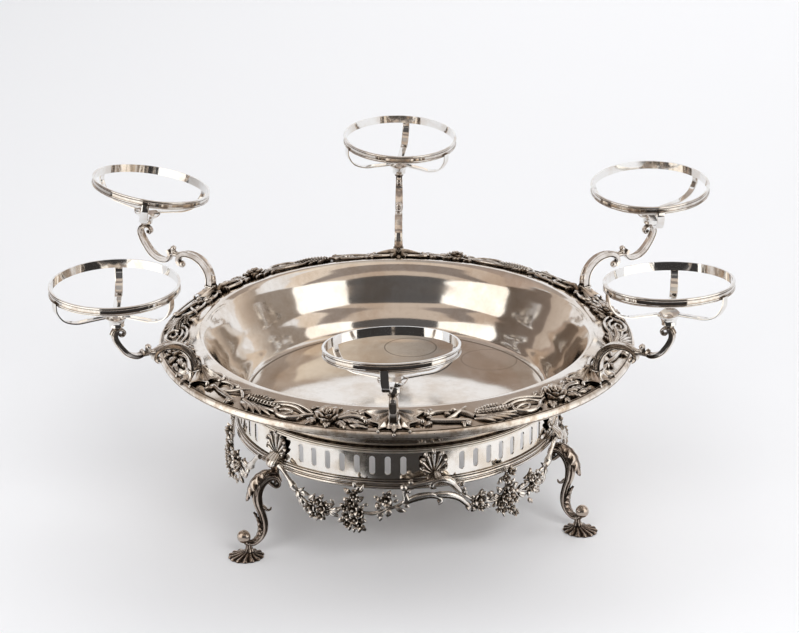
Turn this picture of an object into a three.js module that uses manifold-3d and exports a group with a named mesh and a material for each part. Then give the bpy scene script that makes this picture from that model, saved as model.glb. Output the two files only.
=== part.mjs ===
// A silver-plated table centerpiece: a wide bowl with a cast border, on a pierced gallery with
// three cabriole legs and flower festoons, and six scrolled arms that carry rings for small dishes.
// Millimetres, +Z up. The origin is on the bowl's axis, at the level the feet stand on.
// The first arm points to -Y, and angles are counted in degrees from there towards +X.
import * as THREE from 'three';
import { mergeVertices } from 'three/addons/utils/BufferGeometryUtils.js';
import Module from 'manifold-3d';

const wasm = await Module();
wasm.setup();

// Clearance between pieces that are soldered, screwed or stand together.
const clearance = 0.3;

// Bowl: a sheet with a flat floor, a deep wall and a brim that slopes down to its edge.
const sheet = 1.6;
const floorRadius = 133;
const floorDome = 2;
const wallSpread = 35;
const wallHeight = 59;
const brimWidth = 35;
const brimDrop = 7.5;
const rimWidth = 2.8;
const rimDepth = 5.4;

// Gallery: the pierced band under the bowl.
const galleryBottom = 80;
const galleryOutset = 6;
const galleryWall = 1.2;
const bowlLift = 29;
const topMouldingWidth = 2.6;
const topMouldingDepth = 3.9;
const bottomMouldingWidth = 2.6;
const bottomMouldingDepth = 8.2;
const slotsPerHalfBay = 8;
const slotPitch = 5.36;
const slotStart = 11.2;
const slotWidth = 5;
const slotHeight = 16.7;
const slotRise = 12.4;

// Base: three legs and what hangs between them.
const legCount = 3;
const baseTurn = 13.2;
const legReach = 32.6;
const legThickness = 9;
const legWidth = 9.4;
const toeBall = 5;
const ankleRadius = 3.6;
const tabWidth = 8;
const tabThickness = 2.4;
const studRadius = 2;
const studRise = 4.6;
const nutRadius = 4;
const nutThickness = 2.4;
const padLength = 31;
const padWidth = 27;
const padHeight = 5.6;
const padEdge = 1.1;
const padOffset = 2.6;
const shellWidth = 25;
const shellHeight = 23;
const shellThickness = 2.6;
const shellRibs = 6;
const shellScroll = 8.5;
const shellScrollWidth = 13;
const legRollRise = 3.2;
const festoonDrop = 25;
const festoonThickness = 3;
const pendantAngle = 27.3;
const pendantDrop = 37;
const pendantRadius = 7;
const bracketWidth = 27;
const bracketRise = 5.6;
const bracketBar = 4;

// Arms and the castings on the brim.
const armCount = 6;
const socketInset = 8;
const collarWidth = 9.4;
const collarHeight = 8.2;
const pegWidth = 5;
const pegLength = 6.4;
const armReach = 66.5;
const armRise = 48.5;
const armWidth = 7.2;
const armThickness = 7.4;
const armTipThickness = 4.4;
const bossRadius = 4.4;
const bossHeight = 2.4;
const spigotRadius = 2;
const leafWidth = 56;
const leafReach = 12.5;
const leafThickness = 2;
const leafTips = 5;
const borderStart = 9.4;
const borderEnd = 50.6;
const borderInset = 2.5;
const borderWidth = 19.5;
const borderThickness = 1.4;

// Dish rings: a reeded band on three straps that meet in a small cup.
const ringRadius = 52.8;
const ringWall = 1.4;
const ringDepth = 7.3;
const ringRise = 38.5;
const reed = 0.8;
const strapCount = 3;
const strapWidth = 6.6;
const strapThickness = 1.5;
const strapRise = 12;
const strapOverlap = 5;
const cupRadius = 10.5;
const cupHeight = 9.5;
const cupWall = 1.4;
const capRadius = 4.2;
const capHeight = 5.6;

// How each leg was fixed, in degrees: how far from its even place, and how far it stands turned
// about its own top.
const legFixing = [
  { shift: 1.4, swing: -31 },
  { shift: -1.2, swing: -10 },
  { shift: 0, swing: -20 },
];

// How use has left each arm, from the one that points to -Y. outer and side: degrees that its
// ring's outer side, and the side on the way to the next arm, stand too high. turned: degrees that
// the ring has turned on its spigot. out and up: how far the arm's end has moved. fullness: how
// full its upper scroll still is.
const wear = [
  { outer: 6.4, side: 1.5, turned: -5, out: -1.5, up: 0, fullness: 0.85 },
  { outer: 3.7, side: -2.6, turned: -10, out: -3.4, up: 3.2, fullness: 0.7 },
  { outer: 3.6, side: 3.1, turned: 6, out: 2.3, up: -1.5, fullness: 0.95 },
  { outer: 4, side: 1.6, turned: -6, out: 1.7, up: 1.6, fullness: 1 },
  { outer: 7.5, side: 7.1, turned: 1, out: 3.1, up: -1.8, fullness: 1.1 },
  { outer: -1, side: -1, turned: 3, out: 0, up: 2.6, fullness: 0.7 },
];

// Smoothness: how many flats go round each kind of piece.
const bowlFlats = 48;
const ringFlats = 30;
const mouldingFlats = 48;
const smallFlats = 8;

const radians = THREE.MathUtils.degToRad;
const { lerp } = THREE.MathUtils;

// Materials

function silver(name, color, roughness) {
  return new THREE.MeshStandardMaterial({ name, color, roughness, metalness: 1 });
}

const bright = silver('bright_plate', 0xd8d2c8, 0.16);
const brushed = silver('ring_plate', 0xdcdad6, 0.12);
const tarnished = silver('tarnished_plate', 0xb5a898, 0.28);
const cast = silver('oxidised_casting', 0x9c9184, 0.36);

// Builders for closed bodies

// A closed body from two grids of points: front(i, j) and back(i, j) are its two skins.
function plate(columns, rows, front, back) {
  const positions = [];
  for (const skin of [front, back]) {
    for (let i = 0; i <= columns; i += 1) {
      for (let j = 0; j <= rows; j += 1) {
        positions.push(...skin(i, j).toArray());
      }
    }
  }
  const skinSize = (columns + 1) * (rows + 1);
  const f = (i, j) => i * (rows + 1) + j;
  const b = (i, j) => skinSize + f(i, j);
  const indices = [];
  const quad = (p, q, r, s) => indices.push(p, q, r, p, r, s);
  for (let i = 0; i < columns; i += 1) {
    for (let j = 0; j < rows; j += 1) {
      quad(f(i, j), f(i + 1, j), f(i + 1, j + 1), f(i, j + 1));
      quad(b(i, j), b(i, j + 1), b(i + 1, j + 1), b(i + 1, j));
    }
    quad(f(i + 1, 0), f(i, 0), b(i, 0), b(i + 1, 0));
    quad(f(i, rows), f(i + 1, rows), b(i + 1, rows), b(i, rows));
  }
  for (let j = 0; j < rows; j += 1) {
    quad(f(0, j), f(0, j + 1), b(0, j + 1), b(0, j));
    quad(f(columns, j + 1), f(columns, j), b(columns, j), b(columns, j + 1));
  }
  return indexed(positions, indices);
}

// A closed body through a row of rings that all have the same number of points, with flat ends.
function loft(rings) {
  const sides = rings[0].length;
  const positions = rings.flat().flatMap((point) => point.toArray());
  const indices = [];
  for (let k = 0; k < rings.length - 1; k += 1) {
    for (let s = 0; s < sides; s += 1) {
      const next = (s + 1) % sides;
      const [p, q] = [k * sides + s, k * sides + next];
      indices.push(p, q, q + sides, p, q + sides, p + sides);
    }
  }
  const last = (rings.length - 1) * sides;
  for (let s = 1; s < sides - 1; s += 1) {
    indices.push(0, s + 1, s);
    indices.push(last, last + s, last + s + 1);
  }
  return indexed(positions, indices);
}

function indexed(positions, indices) {
  const geometry = new THREE.BufferGeometry();
  geometry.setAttribute('position', new THREE.Float32BufferAttribute(positions, 3));
  geometry.setIndex(indices);
  return geometry;
}

// A closed profile of [radius, height] points turned about the Z axis.
function revolve(profile, flats) {
  const points = [...profile, profile[0]].map(([r, z]) => new THREE.Vector2(r, z));
  return new THREE.LatheGeometry(points, flats).rotateX(Math.PI / 2);
}

// The same, with its flats meeting at chosen angles, in degrees from the X axis.
function revolveAt(profile, angles) {
  const sides = profile.length;
  const positions = angles.flatMap((angle) => profile.flatMap(([r, z]) => (
    [r * Math.cos(radians(angle)), r * Math.sin(radians(angle)), z]
  )));
  const indices = [];
  angles.forEach((_, k) => {
    const here = k * sides;
    const there = ((k + 1) % angles.length) * sides;
    for (let s = 0; s < sides; s += 1) {
      const next = (s + 1) % sides;
      indices.push(here + s, there + s, there + next, here + s, there + next, here + next);
    }
  });
  return indexed(positions, indices);
}

// A bar along a smooth curve through points. sections holds [thickness, width] pairs spread
// evenly along it, and thickAt(centre, along) is the way its thickness lies.
function bar(points, sections, thickAt, steps, sides) {
  const curve = new THREE.CatmullRomCurve3(points, false, 'centripetal');
  const rings = [];
  for (let k = 0; k <= steps; k += 1) {
    const at = k / steps;
    const centre = curve.getPoint(at);
    const along = curve.getTangent(at);
    const thick = thickAt(centre, along);
    const wide = new THREE.Vector3().crossVectors(along, thick);
    const place = at * (sections.length - 1);
    const before = Math.min(Math.floor(place), sections.length - 2);
    const thickness = lerp(sections[before][0], sections[before + 1][0], place - before);
    const width = lerp(sections[before][1], sections[before + 1][1], place - before);
    rings.push(Array.from({ length: sides }, (_, s) => {
      const turn = (2 * Math.PI * (s + 0.5)) / sides;
      return centre.clone()
        .addScaledVector(thick, (thickness / 2) * Math.cos(turn))
        .addScaledVector(wide, (width / 2) * Math.sin(turn));
    }));
  }
  return loft(rings);
}

// The same bar for a curve in the upright plane through X: its thickness lies in that plane.
function uprightBar(points, sections, steps, sides) {
  const across = (_, along) => new THREE.Vector3(-along.z, 0, along.x);
  return bar(points, sections, across, steps, sides);
}

function ball(radius, x, y, z, flats = 8) {
  return new THREE.SphereGeometry(radius, flats, flats / 2).translate(x, y, z);
}

function box(width, depth, height, x, y, z) {
  return new THREE.BoxGeometry(width, depth, height).translate(x, y, z);
}

// A rod about the Z axis from one height to another.
function rod(radius, from, to, flats = smallFlats) {
  const height = to - from;
  return new THREE.CylinderGeometry(radius, radius, height, flats)
    .rotateX(Math.PI / 2)
    .translate(0, 0, from + height / 2);
}

// Booleans

function toSolid(geometry) {
  const bare = geometry.clone();
  bare.deleteAttribute('normal');
  bare.deleteAttribute('uv');
  const merged = mergeVertices(bare, 1e-4);
  const index = merged.getIndex().array;
  const kept = [];
  for (let t = 0; t < index.length; t += 3) {
    const [p, q, r] = index.slice(t, t + 3);
    if (p !== q && q !== r && r !== p) kept.push(p, q, r);
  }
  const vertProperties = new Float32Array(merged.getAttribute('position').array);
  const triVerts = new Uint32Array(kept);
  return new wasm.Manifold(new wasm.Mesh({ numProp: 3, vertProperties, triVerts }));
}

function toGeometry(solid) {
  const mesh = solid.getMesh();
  return indexed(Array.from(mesh.vertProperties), Array.from(mesh.triVerts));
}

function join(...geometries) {
  return toGeometry(geometries.map(toSolid).reduce((all, next) => all.add(next)));
}

function cut(geometry, ...tools) {
  return toGeometry(tools.map(toSolid).reduce((rest, tool) => rest.subtract(tool), toSolid(geometry)));
}

// Placing

const centerpiece = new THREE.Group();

// The group of what stands at one angle round the axis: its +X points outwards.
function spoke(angle) {
  const group = new THREE.Group();
  group.rotation.z = radians(angle - 90);
  centerpiece.add(group);
  return group;
}

function add(name, geometry, material, parent = centerpiece) {
  const mesh = new THREE.Mesh(geometry, material);
  mesh.name = name;
  parent.add(mesh);
  return mesh;
}

// Bowl

const wallTopRadius = floorRadius + wallSpread;
const sheetRadius = wallTopRadius + brimWidth;
const floorTop = galleryBottom + bowlLift;
const wallTop = floorTop + wallHeight;

// The wall's curve, as shares of its width and its height.
const wallCurve = [[0, 0], [0.04, 0.07], [0.27, 0.29], [0.6, 0.59], [0.85, 0.86], [1, 1]];

const innerSkin = [
  [0, floorTop + floorDome],
  ...wallCurve.map(([across, up]) => [
    lerp(floorRadius, wallTopRadius, across),
    floorTop + wallHeight * up,
  ]),
  [sheetRadius, wallTop - brimDrop],
];

// The skin moved square to itself by the sheet's thickness, downwards and outwards.
function offsetSkin(points, distance) {
  return points.map((point, k) => {
    const [r0, z0] = points[Math.max(k - 1, 0)];
    const [r1, z1] = points[Math.min(k + 1, points.length - 1)];
    const length = Math.hypot(r1 - r0, z1 - z0);
    const onAxis = k === 0;
    return [
      onAxis ? 0 : point[0] + (distance * (z1 - z0)) / length,
      point[1] - (distance * (onAxis ? length : r1 - r0)) / length,
    ];
  });
}

const outerSkin = offsetSkin(innerSkin, sheet);

// The height of a skin at a radius.
function heightOn(skin, radius) {
  const k = Math.max(skin.findIndex(([r]) => r >= radius), 1);
  const [r0, z0] = skin[k - 1];
  const [r1, z1] = skin[k];
  return lerp(z0, z1, (radius - r0) / (r1 - r0));
}

function addBowl() {
  const profile = [...outerSkin, ...innerSkin.slice(1).reverse()];
  add('bowl', join(revolve([...profile, innerSkin[0]], bowlFlats)), bright);

  const inner = Math.max(outerSkin.at(-1)[0], sheetRadius) + clearance;
  const top = wallTop - brimDrop + rimDepth * 0.18;
  const outer = inner + rimWidth;
  const rim = [
    [inner, top - rimDepth],
    [outer - rimWidth * 0.2, top - rimDepth],
    [outer, top - rimDepth * 0.4],
    [inner, top],
  ];
  add('rim_moulding', revolve(rim, bowlFlats), bright);
}

// Gallery

const galleryRadius = floorRadius + galleryOutset;
const galleryInner = galleryRadius - galleryWall;
const galleryTop = heightOn(outerSkin, galleryInner) - 2 * clearance;
const mouldingInner = galleryRadius + clearance;
const bottomMouldingOuter = mouldingInner + bottomMouldingWidth;
const bay = 360 / legCount;
const middleAngles = Array.from({ length: legCount }, (_, k) => baseTurn + bay * k);
const fixings = middleAngles.map((middle, k) => {
  const { shift, swing } = legFixing[k % legFixing.length];
  return { angle: middle - bay / 2 + shift, swing };
});

// A rod that lies along X, from one distance from the axis to another, at a height.
function radialRod(radius, from, to, height, flats = smallFlats) {
  const length = to - from;
  return new THREE.CylinderGeometry(radius, radius, length, flats)
    .rotateZ(Math.PI / 2)
    .translate(from + length / 2, 0, height);
}

function studHoles() {
  return fixings.map(({ angle }) => (
    radialRod(studRadius + clearance, galleryInner - 1, bottomMouldingOuter + 1, galleryBottom + studRise)
      .rotateZ(radians(angle - 90))
  ));
}

// One slot through the band, with round ends.
function slotTool(angle) {
  const straight = (slotHeight - slotWidth) / 2;
  const end = (from, height) => [0, 60, 120, 180].map((turn) => new THREE.Vector2(
    (slotWidth / 2) * Math.cos(radians(from + turn)),
    height + (slotWidth / 2) * Math.sin(radians(from + turn)),
  ));
  const outline = new THREE.Shape([...end(0, straight), ...end(180, -straight)]);
  return new THREE.ExtrudeGeometry(outline, { depth: galleryWall + 4, bevelEnabled: false })
    .rotateX(Math.PI / 2)
    .rotateZ(Math.PI / 2)
    .translate(galleryInner - 2, 0, galleryBottom + slotRise + slotHeight / 2)
    .rotateZ(radians(angle - 90));
}

function addGallery() {
  const band = [
    [galleryInner, galleryBottom],
    [galleryRadius, galleryBottom],
    [galleryRadius, galleryTop],
    [galleryInner, galleryTop],
  ];
  const slots = [];
  const corners = [];
  const shells = middleAngles.flatMap((middle, k) => [
    { angle: middle - bay / 2, seat: fixings[k].angle },
    { angle: middle, seat: middle },
  ]);
  for (const { angle, seat } of shells) {
    corners.push(seat - 90 - slotStart / 3, seat - 90 + slotStart / 3);
    for (let k = 0; k < slotsPerHalfBay; k += 1) {
      const at = angle + slotStart + slotPitch * k;
      slots.push(slotTool(at));
      corners.push(at - 90 - slotPitch / 2);
    }
    corners.push(angle - 90 + slotStart + slotPitch * (slotsPerHalfBay - 0.5));
  }
  add('gallery_band', cut(revolveAt(band, corners), ...slots, ...studHoles()), bright);

  const outer = mouldingInner + topMouldingWidth;
  const seat = heightOn(outerSkin, mouldingInner) - 2 * clearance;
  const top = [
    [mouldingInner, seat - topMouldingDepth],
    [outer, seat - topMouldingDepth * 0.85],
    [outer, seat - topMouldingDepth * 0.1],
    [mouldingInner, seat],
  ];
  add('gallery_top_moulding', revolve(top, mouldingFlats), bright);

  const bottom = [
    [mouldingInner, galleryBottom],
    [bottomMouldingOuter, galleryBottom + bottomMouldingDepth * 0.08],
    [bottomMouldingOuter, galleryBottom + bottomMouldingDepth * 0.35],
    [mouldingInner + 0.6, galleryBottom + bottomMouldingDepth],
    [mouldingInner, galleryBottom + bottomMouldingDepth],
  ];
  add('gallery_bottom_moulding', cut(revolve(bottom, mouldingFlats), ...studHoles()), bright);
}

// Base

// The leg's centre line, as shares of its reach from the gallery and of the gallery's height.
const legCurve = [
  [0.02, 0.85], [0.13, 0.915], [0.33, 0.92], [0.53, 0.85], [0.62, 0.735], [0.6, 0.615],
  [0.51, 0.495], [0.46, 0.385], [0.48, 0.285], [0.59, 0.205], [0.75, 0.16], [0.93, 0.172], [1.0, 0.235],
];
const legSections = [
  [0.55, 0.9], [1.0, 1], [1.25, 1.05], [1.2, 1.05], [1.05, 1], [0.95, 0.95],
  [0.78, 0.85], [0.78, 0.8], [0.8, 0.8], [0.75, 0.8], [0.6, 0.75], [0.55, 0.7], [0.5, 0.6],
];
const tabInner = bottomMouldingOuter + clearance;
const padTop = padHeight;

function ankleCentre() {
  return galleryRadius + legReach * 0.87;
}

// A leg turned a little about the upright line through its top.
function swung(geometry, swing) {
  const pivot = tabInner + tabThickness / 2;
  return geometry.translate(-pivot, 0, 0).rotateZ(radians(swing)).translate(pivot, 0, 0);
}

function legGeometry(swing) {
  const points = legCurve.map(([out, up]) => (
    new THREE.Vector3(galleryRadius + legReach * out, 0, galleryBottom * up)
  ));
  const sections = legSections.map(([t, w]) => [legThickness * t, legWidth * w]);
  const scroll = uprightBar(points, sections, 17, 6);
  const toe = ball(toeBall, galleryRadius + legReach, 0, galleryBottom * 0.245);
  const stemTop = galleryBottom * 0.165;
  const stem = rod(ankleRadius, padTop + clearance, stemTop, 8).translate(ankleCentre(), 0, 0);
  const studHeight = galleryBottom + studRise;
  const tabBottom = galleryBottom * 0.88;
  const tabTop = studHeight + studRadius + 0.6;
  const tab = box(tabThickness, tabWidth, tabTop - tabBottom,
    tabInner + tabThickness / 2, 0, (tabTop + tabBottom) / 2);
  const studEnd = galleryInner - nutThickness - 2 * clearance;
  const stud = radialRod(studRadius, studEnd, tabInner + 1, studHeight);
  const leaf = uprightBar([
    new THREE.Vector3(galleryRadius + legReach * 0.55, 0, galleryBottom * 0.93),
    new THREE.Vector3(galleryRadius + legReach * 0.8, 0, galleryBottom * 0.83),
    new THREE.Vector3(galleryRadius + legReach * 0.92, 0, galleryBottom * 0.775),
  ], [[4, legWidth], [2.4, legWidth * 0.8], [1.2, legWidth * 0.3]], 3, 6);
  return join(swung(join(scroll, toe, stem, leaf), swing), tab, stud);
}

// An oval fluted pad with a flat underside and a neck that carries the ankle.
function padGeometry(swing) {
  const flutes = 12;
  const neck = ankleCentre();
  const centre = neck + padOffset;
  const ring = (share, height, depth) => Array.from({ length: flutes }, (_, s) => {
    const turn = (2 * Math.PI * s) / flutes;
    const wave = 1 - depth * (s % 2);
    const middle = lerp(neck, centre, share);
    return new THREE.Vector3(
      middle + (padLength / 2) * share * wave * Math.cos(turn),
      (padWidth / 2) * share * wave * Math.sin(turn),
      height,
    );
  });
  const neckShare = (2 * (ankleRadius + 0.6)) / padWidth;
  return swung(loft([
    ring(0.97, 0, 0.05),
    ring(1, padEdge, 0.05),
    ring(0.62, padTop * 0.45, 0.03),
    ring(neckShare, padTop, 0),
  ]), swing);
}

// A fan shell with ribs, standing on the gallery with a rolled foot in front of the moulding.
function shellGeometry(withTab) {
  const base = galleryBottom + bottomMouldingDepth + clearance;
  const root = base + 2;
  const columns = shellRibs * 2;
  const hubHeight = shellHeight * 0.36;
  const fanPoint = (i, j, front) => {
    const turn = ((i / columns) * 2 - 1) * radians(112);
    const onRib = i % 2 === 1;
    const scallop = j === 2 && !onRib ? 0.93 : 1;
    const share = [0.16, 0.6, 1][j] * scallop;
    const up = Math.max(Math.cos(turn), Math.cos(turn) * 0.7);
    const lift = [1.15, 1.3, 0.75][j] * shellThickness * (onRib ? 1 : 0.62);
    return new THREE.Vector3(
      mouldingInner + (front ? lift : 0),
      (shellWidth / 2) * share * Math.sin(turn),
      root + hubHeight + (shellHeight - hubHeight) * share * up,
    );
  };
  const fan = plate(columns, 2, (i, j) => fanPoint(i, j, true), (i, j) => fanPoint(i, j, false));
  const front = (withTab ? tabInner + tabThickness : bottomMouldingOuter) + clearance;
  const rollLow = galleryBottom + (withTab ? legRollRise : bracketRise + clearance);
  const roll = bar([
    new THREE.Vector3(mouldingInner + shellThickness * 0.8, 0, root + hubHeight - 1),
    new THREE.Vector3(front + shellScroll * 0.28, 0, base - 0.5),
    new THREE.Vector3(front + shellScroll * 0.46, 0, rollLow + 1.6),
    new THREE.Vector3(front + shellScroll * 0.46, 0, rollLow),
  ], [
    [shellThickness * 0.8, shellScrollWidth * 0.7],
    [shellScroll * 0.42, shellScrollWidth],
    [shellScroll * 0.62, shellScrollWidth * 0.9],
    [shellScroll * 0.7, shellScrollWidth * 0.55],
  ], () => new THREE.Vector3(1, 0, 0), 5, 6);
  return join(fan, roll);
}

// A point of the festoon: an angle from the middle of the bay, a height, and a distance outwards.
const festoonRadius = bottomMouldingOuter + clearance + 2 * festoonThickness * 0.75;
const bracketReach = THREE.MathUtils.radToDeg(bracketWidth / festoonRadius);

function onFestoon(angle, height, out = 0) {
  const turn = radians(angle);
  const radius = festoonRadius + out;
  return new THREE.Vector3(radius * Math.cos(turn), radius * Math.sin(turn), height);
}

// Straight out from the bowl's axis, made square to the curve.
function radialAt(centre, along) {
  const out = new THREE.Vector3(centre.x, centre.y, 0).normalize();
  return out.addScaledVector(along, -along.dot(out)).normalize();
}

// One half of a festoon: stalk, garland and pendant. side is 1 or -1.
function festoonHalf(side) {
  const low = galleryBottom - festoonDrop;
  const garland = bar([
    onFestoon(side * 55.4, galleryBottom - 3),
    onFestoon(side * 51.4, galleryBottom - festoonDrop * 0.2),
    onFestoon(side * 45.5, galleryBottom - festoonDrop * 0.55),
    onFestoon(side * 39, low + 1),
    onFestoon(side * 33, low + 1.5),
    onFestoon(side * pendantAngle, low + 5),
    onFestoon(side * 21, low + 7.5),
    onFestoon(side * (bracketReach + 4.9), low + 10.5),
    onFestoon(side * (bracketReach - 0.1), low + 19),
  ], [
    [1, 0.8], [1.05, 0.85], [1.4, 1.8], [1.8, 3.6], [1.8, 3.2],
    [1.9, 3.6], [1.9, 3.8], [1.9, 3.4], [1.2, 1.6],
  ].map(([t, w]) => [festoonThickness * t, festoonThickness * w]), radialAt, 11, 5);
  const top = galleryBottom + 1.5;
  const pendant = bar([
    onFestoon(side * pendantAngle, top),
    onFestoon(side * pendantAngle, top - pendantDrop * 0.35),
    onFestoon(side * pendantAngle, top - pendantDrop * 0.7),
    onFestoon(side * pendantAngle, top - pendantDrop),
  ], [
    [festoonThickness, pendantRadius * 0.7],
    [festoonThickness * 1.8, pendantRadius * 1.6],
    [festoonThickness * 2, pendantRadius * 2],
    [festoonThickness * 0.8, pendantRadius * 0.5],
  ], radialAt, 4, 5);
  return join(garland, pendant);
}

// The pierced bracket in the middle of the bay: two arched scrolls joined at their ends.
function bracketGeometry() {
  const reach = bracketReach;
  const high = galleryBottom + bracketRise - bracketBar / 2;
  const thick = bracketBar * Math.SQRT2;
  const upper = bar([
    onFestoon(-reach, high - 7.7),
    onFestoon(-reach * 0.75, high - 1.4),
    onFestoon(-reach * 0.2, high),
    onFestoon(reach * 0.3, high - 0.2),
    onFestoon(reach * 0.72, high - 5.2),
    onFestoon(reach, high - 12.2),
  ], [[thick * 0.9, thick * 0.9], [thick, thick], [thick, thick], [thick, thick * 0.9]], radialAt, 7, 4);
  const low = high - 17.2;
  const lower = bar([
    onFestoon(-reach, low + 9.5),
    onFestoon(-reach * 0.72, low + 3.5),
    onFestoon(-reach * 0.4, low + 7.2),
    onFestoon(0, low + 8.5),
    onFestoon(reach * 0.5, low + 6.5),
    onFestoon(reach * 0.8, low + 1.5),
    onFestoon(reach, low + 5.5),
  ], [[thick * 0.9, thick * 0.9], [thick, thick], [thick, thick * 0.9]], radialAt, 8, 4);
  return join(upper, lower);
}

function addBase() {
  const legShell = shellGeometry(true);
  const middleShell = shellGeometry(false);
  const festoon = join(festoonHalf(1), bracketGeometry(), festoonHalf(-1));
  const nutOuter = galleryInner - clearance;
  const nut = revolve([
    [studRadius + clearance, 0],
    [nutRadius, 0],
    [nutRadius, nutThickness],
    [studRadius + clearance, nutThickness],
  ], 6).rotateY(Math.PI / 2).translate(nutOuter - nutThickness, 0, galleryBottom + studRise);
  fixings.forEach(({ angle, swing }, k) => {
    const place = spoke(angle);
    add(`leg_${k + 1}`, legGeometry(swing), cast, place);
    add(`foot_shell_${k + 1}`, padGeometry(swing), cast, place);
    add(`leg_shell_${k + 1}`, legShell, cast, place);
    add(`leg_nut_${k + 1}`, nut, tarnished, place);
  });
  middleAngles.forEach((angle, k) => {
    const place = spoke(angle);
    add(`middle_shell_${k + 1}`, middleShell, cast, place);
    add(`festoon_${k + 1}`, festoon, cast, place);
  });
}

// Brim castings

function brimTop(radius) {
  return heightOn(innerSkin, Math.min(radius, sheetRadius));
}

const socketRadius = sheetRadius - socketInset;
const collarTop = brimTop(socketRadius) + collarHeight;

// A webbed leaf on the brim, with a collar at its root that takes an arm.
function socketGeometry() {
  const columns = leafTips * 2 + 2;
  const rimClear = wallTop - brimDrop + rimDepth * 0.18 + clearance;
  const seat = (radius) => (radius < sheetRadius - 1 ? brimTop(radius) + clearance : rimClear);
  const leafPoint = (i, j, front) => {
    const side = (i / columns) * 2 - 1;
    const edge = Math.abs(side);
    const tip = i % 2 === 1 ? 1 : 0.72;
    const reach = (leafReach * tip + 1) * Math.sqrt(1 - edge * edge * 0.72) - edge * 6;
    const inner = socketRadius - 5 - edge * 4;
    const outer = socketRadius + reach;
    const radius = lerp(inner, outer, [0, 0.5, 1][j]);
    const y = (leafWidth / 2) * side * [0.35, 0.75, 1][j];
    const from = Math.hypot(radius, y);
    const ridge = i % 2 === 1 ? 1 : 0.45;
    const lift = front ? leafThickness * ([2.6, 1.5, 0.5][j] * ridge + 0.4) : 0;
    return new THREE.Vector3(radius, y, seat(from) + lift);
  };
  const leaf = plate(columns, 2, (i, j) => leafPoint(i, 2 - j, true), (i, j) => leafPoint(i, 2 - j, false));
  const bottom = brimTop(socketRadius - collarWidth / 2) + clearance;
  const collar = box(collarWidth, collarWidth, collarTop - bottom,
    socketRadius, 0, (collarTop + bottom) / 2);
  const hole = pegWidth + 2 * clearance;
  const holeBottom = collarTop - pegLength - clearance;
  const tool = box(hole, hole, collarTop - holeBottom + 2,
    socketRadius, 0, (collarTop + holeBottom) / 2 + 1);
  return cut(join(leaf, collar), tool);
}

// The raised forms of a border casting: where each lies, as an angle and as a share of the
// border's width, how long it is in degrees, how wide as a share, and how high it stands.
const borderForms = [
  { angle: 12, across: 0.46, length: 3, width: 0.41, height: 2.4 },
  { angle: 19.5, across: 0.51, length: 3, width: 0.46, height: 3.2 },
  { angle: 27.5, across: 0.36, length: 5, width: 0.36, height: 4 },
  { angle: 36, across: 0.62, length: 3, width: 0.36, height: 2 },
  { angle: 43.6, across: 0.51, length: 2.6, width: 0.51, height: 7 },
  { angle: 48.4, across: 0.41, length: 1.8, width: 0.41, height: 2.4 },
];

function borderGeometry() {
  const columns = 17;
  const rows = 3;
  const borderOuter = sheetRadius - borderInset;
  const borderInner = borderOuter - borderWidth;
  const point = (i, j, front) => {
    const angle = lerp(borderStart, borderEnd, i / columns);
    const sway = 1.6 * Math.sin(radians(angle * 16));
    const endTaper = 1 - 0.35 * Math.abs((i / columns) * 2 - 1) ** 4;
    const middle = (borderInner + borderOuter) / 2 + sway * 0.5;
    const half = ((borderOuter - borderInner) / 2 - Math.abs(sway) * 0.5) * endTaper;
    const radius = middle + half * ((j / rows) * 2 - 1);
    const onEdge = j === 0 || j === rows;
    const height = borderForms.reduce((most, form) => {
      const across = (radius - borderInner) / borderWidth - form.across;
      const away = Math.hypot((angle - form.angle) / form.length, across / form.width);
      return Math.max(most, form.height * Math.max(0, 1 - away * away));
    }, 1);
    const lift = front ? borderThickness + (onEdge ? 0.3 : 1) * height : 0;
    const turn = radians(angle);
    return new THREE.Vector3(
      radius * Math.cos(turn),
      radius * Math.sin(turn),
      brimTop(radius) + clearance + lift,
    );
  };
  return plate(columns, rows, (i, j) => point(i, rows - j, true), (i, j) => point(i, rows - j, false));
}

// Arms

// The lower and the upper scroll, as shares of the arm's reach and of its rise.
const lowerScroll = [
  [0.0, 0.0], [0.005, 0.13], [0.04, 0.27], [0.11, 0.39], [0.2, 0.47], [0.3, 0.505],
  [0.41, 0.5], [0.49, 0.44], [0.515, 0.34], [0.475, 0.275],
];
const upperScroll = [
  [0.68, 0.53], [0.645, 0.44], [0.7, 0.35], [0.81, 0.35], [0.92, 0.43],
  [1.0, 0.56], [1.06, 0.7], [1.085, 0.83], [1.05, 0.92], [1.0, 0.945],
];
const seatHeight = collarTop + clearance + armRise;

// The upper scroll of one arm, drawn in towards the straight line between its ends, and with its
// end moved.
function wornScroll(state) {
  const [start, end] = [upperScroll[0], upperScroll.at(-1)];
  return upperScroll.map(([out, up], k) => {
    const along = k / (upperScroll.length - 1);
    return [
      lerp(lerp(start[0], end[0], along), out, state.fullness) + (state.out / armReach) * along,
      lerp(lerp(start[1], end[1], along), up, state.fullness) + (state.up / armRise) * along,
    ];
  });
}

function armPoints(shares) {
  return shares.map(([out, up]) => new THREE.Vector3(
    socketRadius + armReach * out,
    0,
    collarTop + clearance + armRise * up,
  ));
}

// Where the ring of one arm sits.
function seatOf(state) {
  return [socketRadius + armReach + state.out, 0, seatHeight + state.up];
}

// Turns what stands upright at the origin to the lean of one ring.
function leaned(geometry, { outer, side }) {
  return geometry.rotateY(radians(-outer)).rotateX(radians(side));
}

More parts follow.
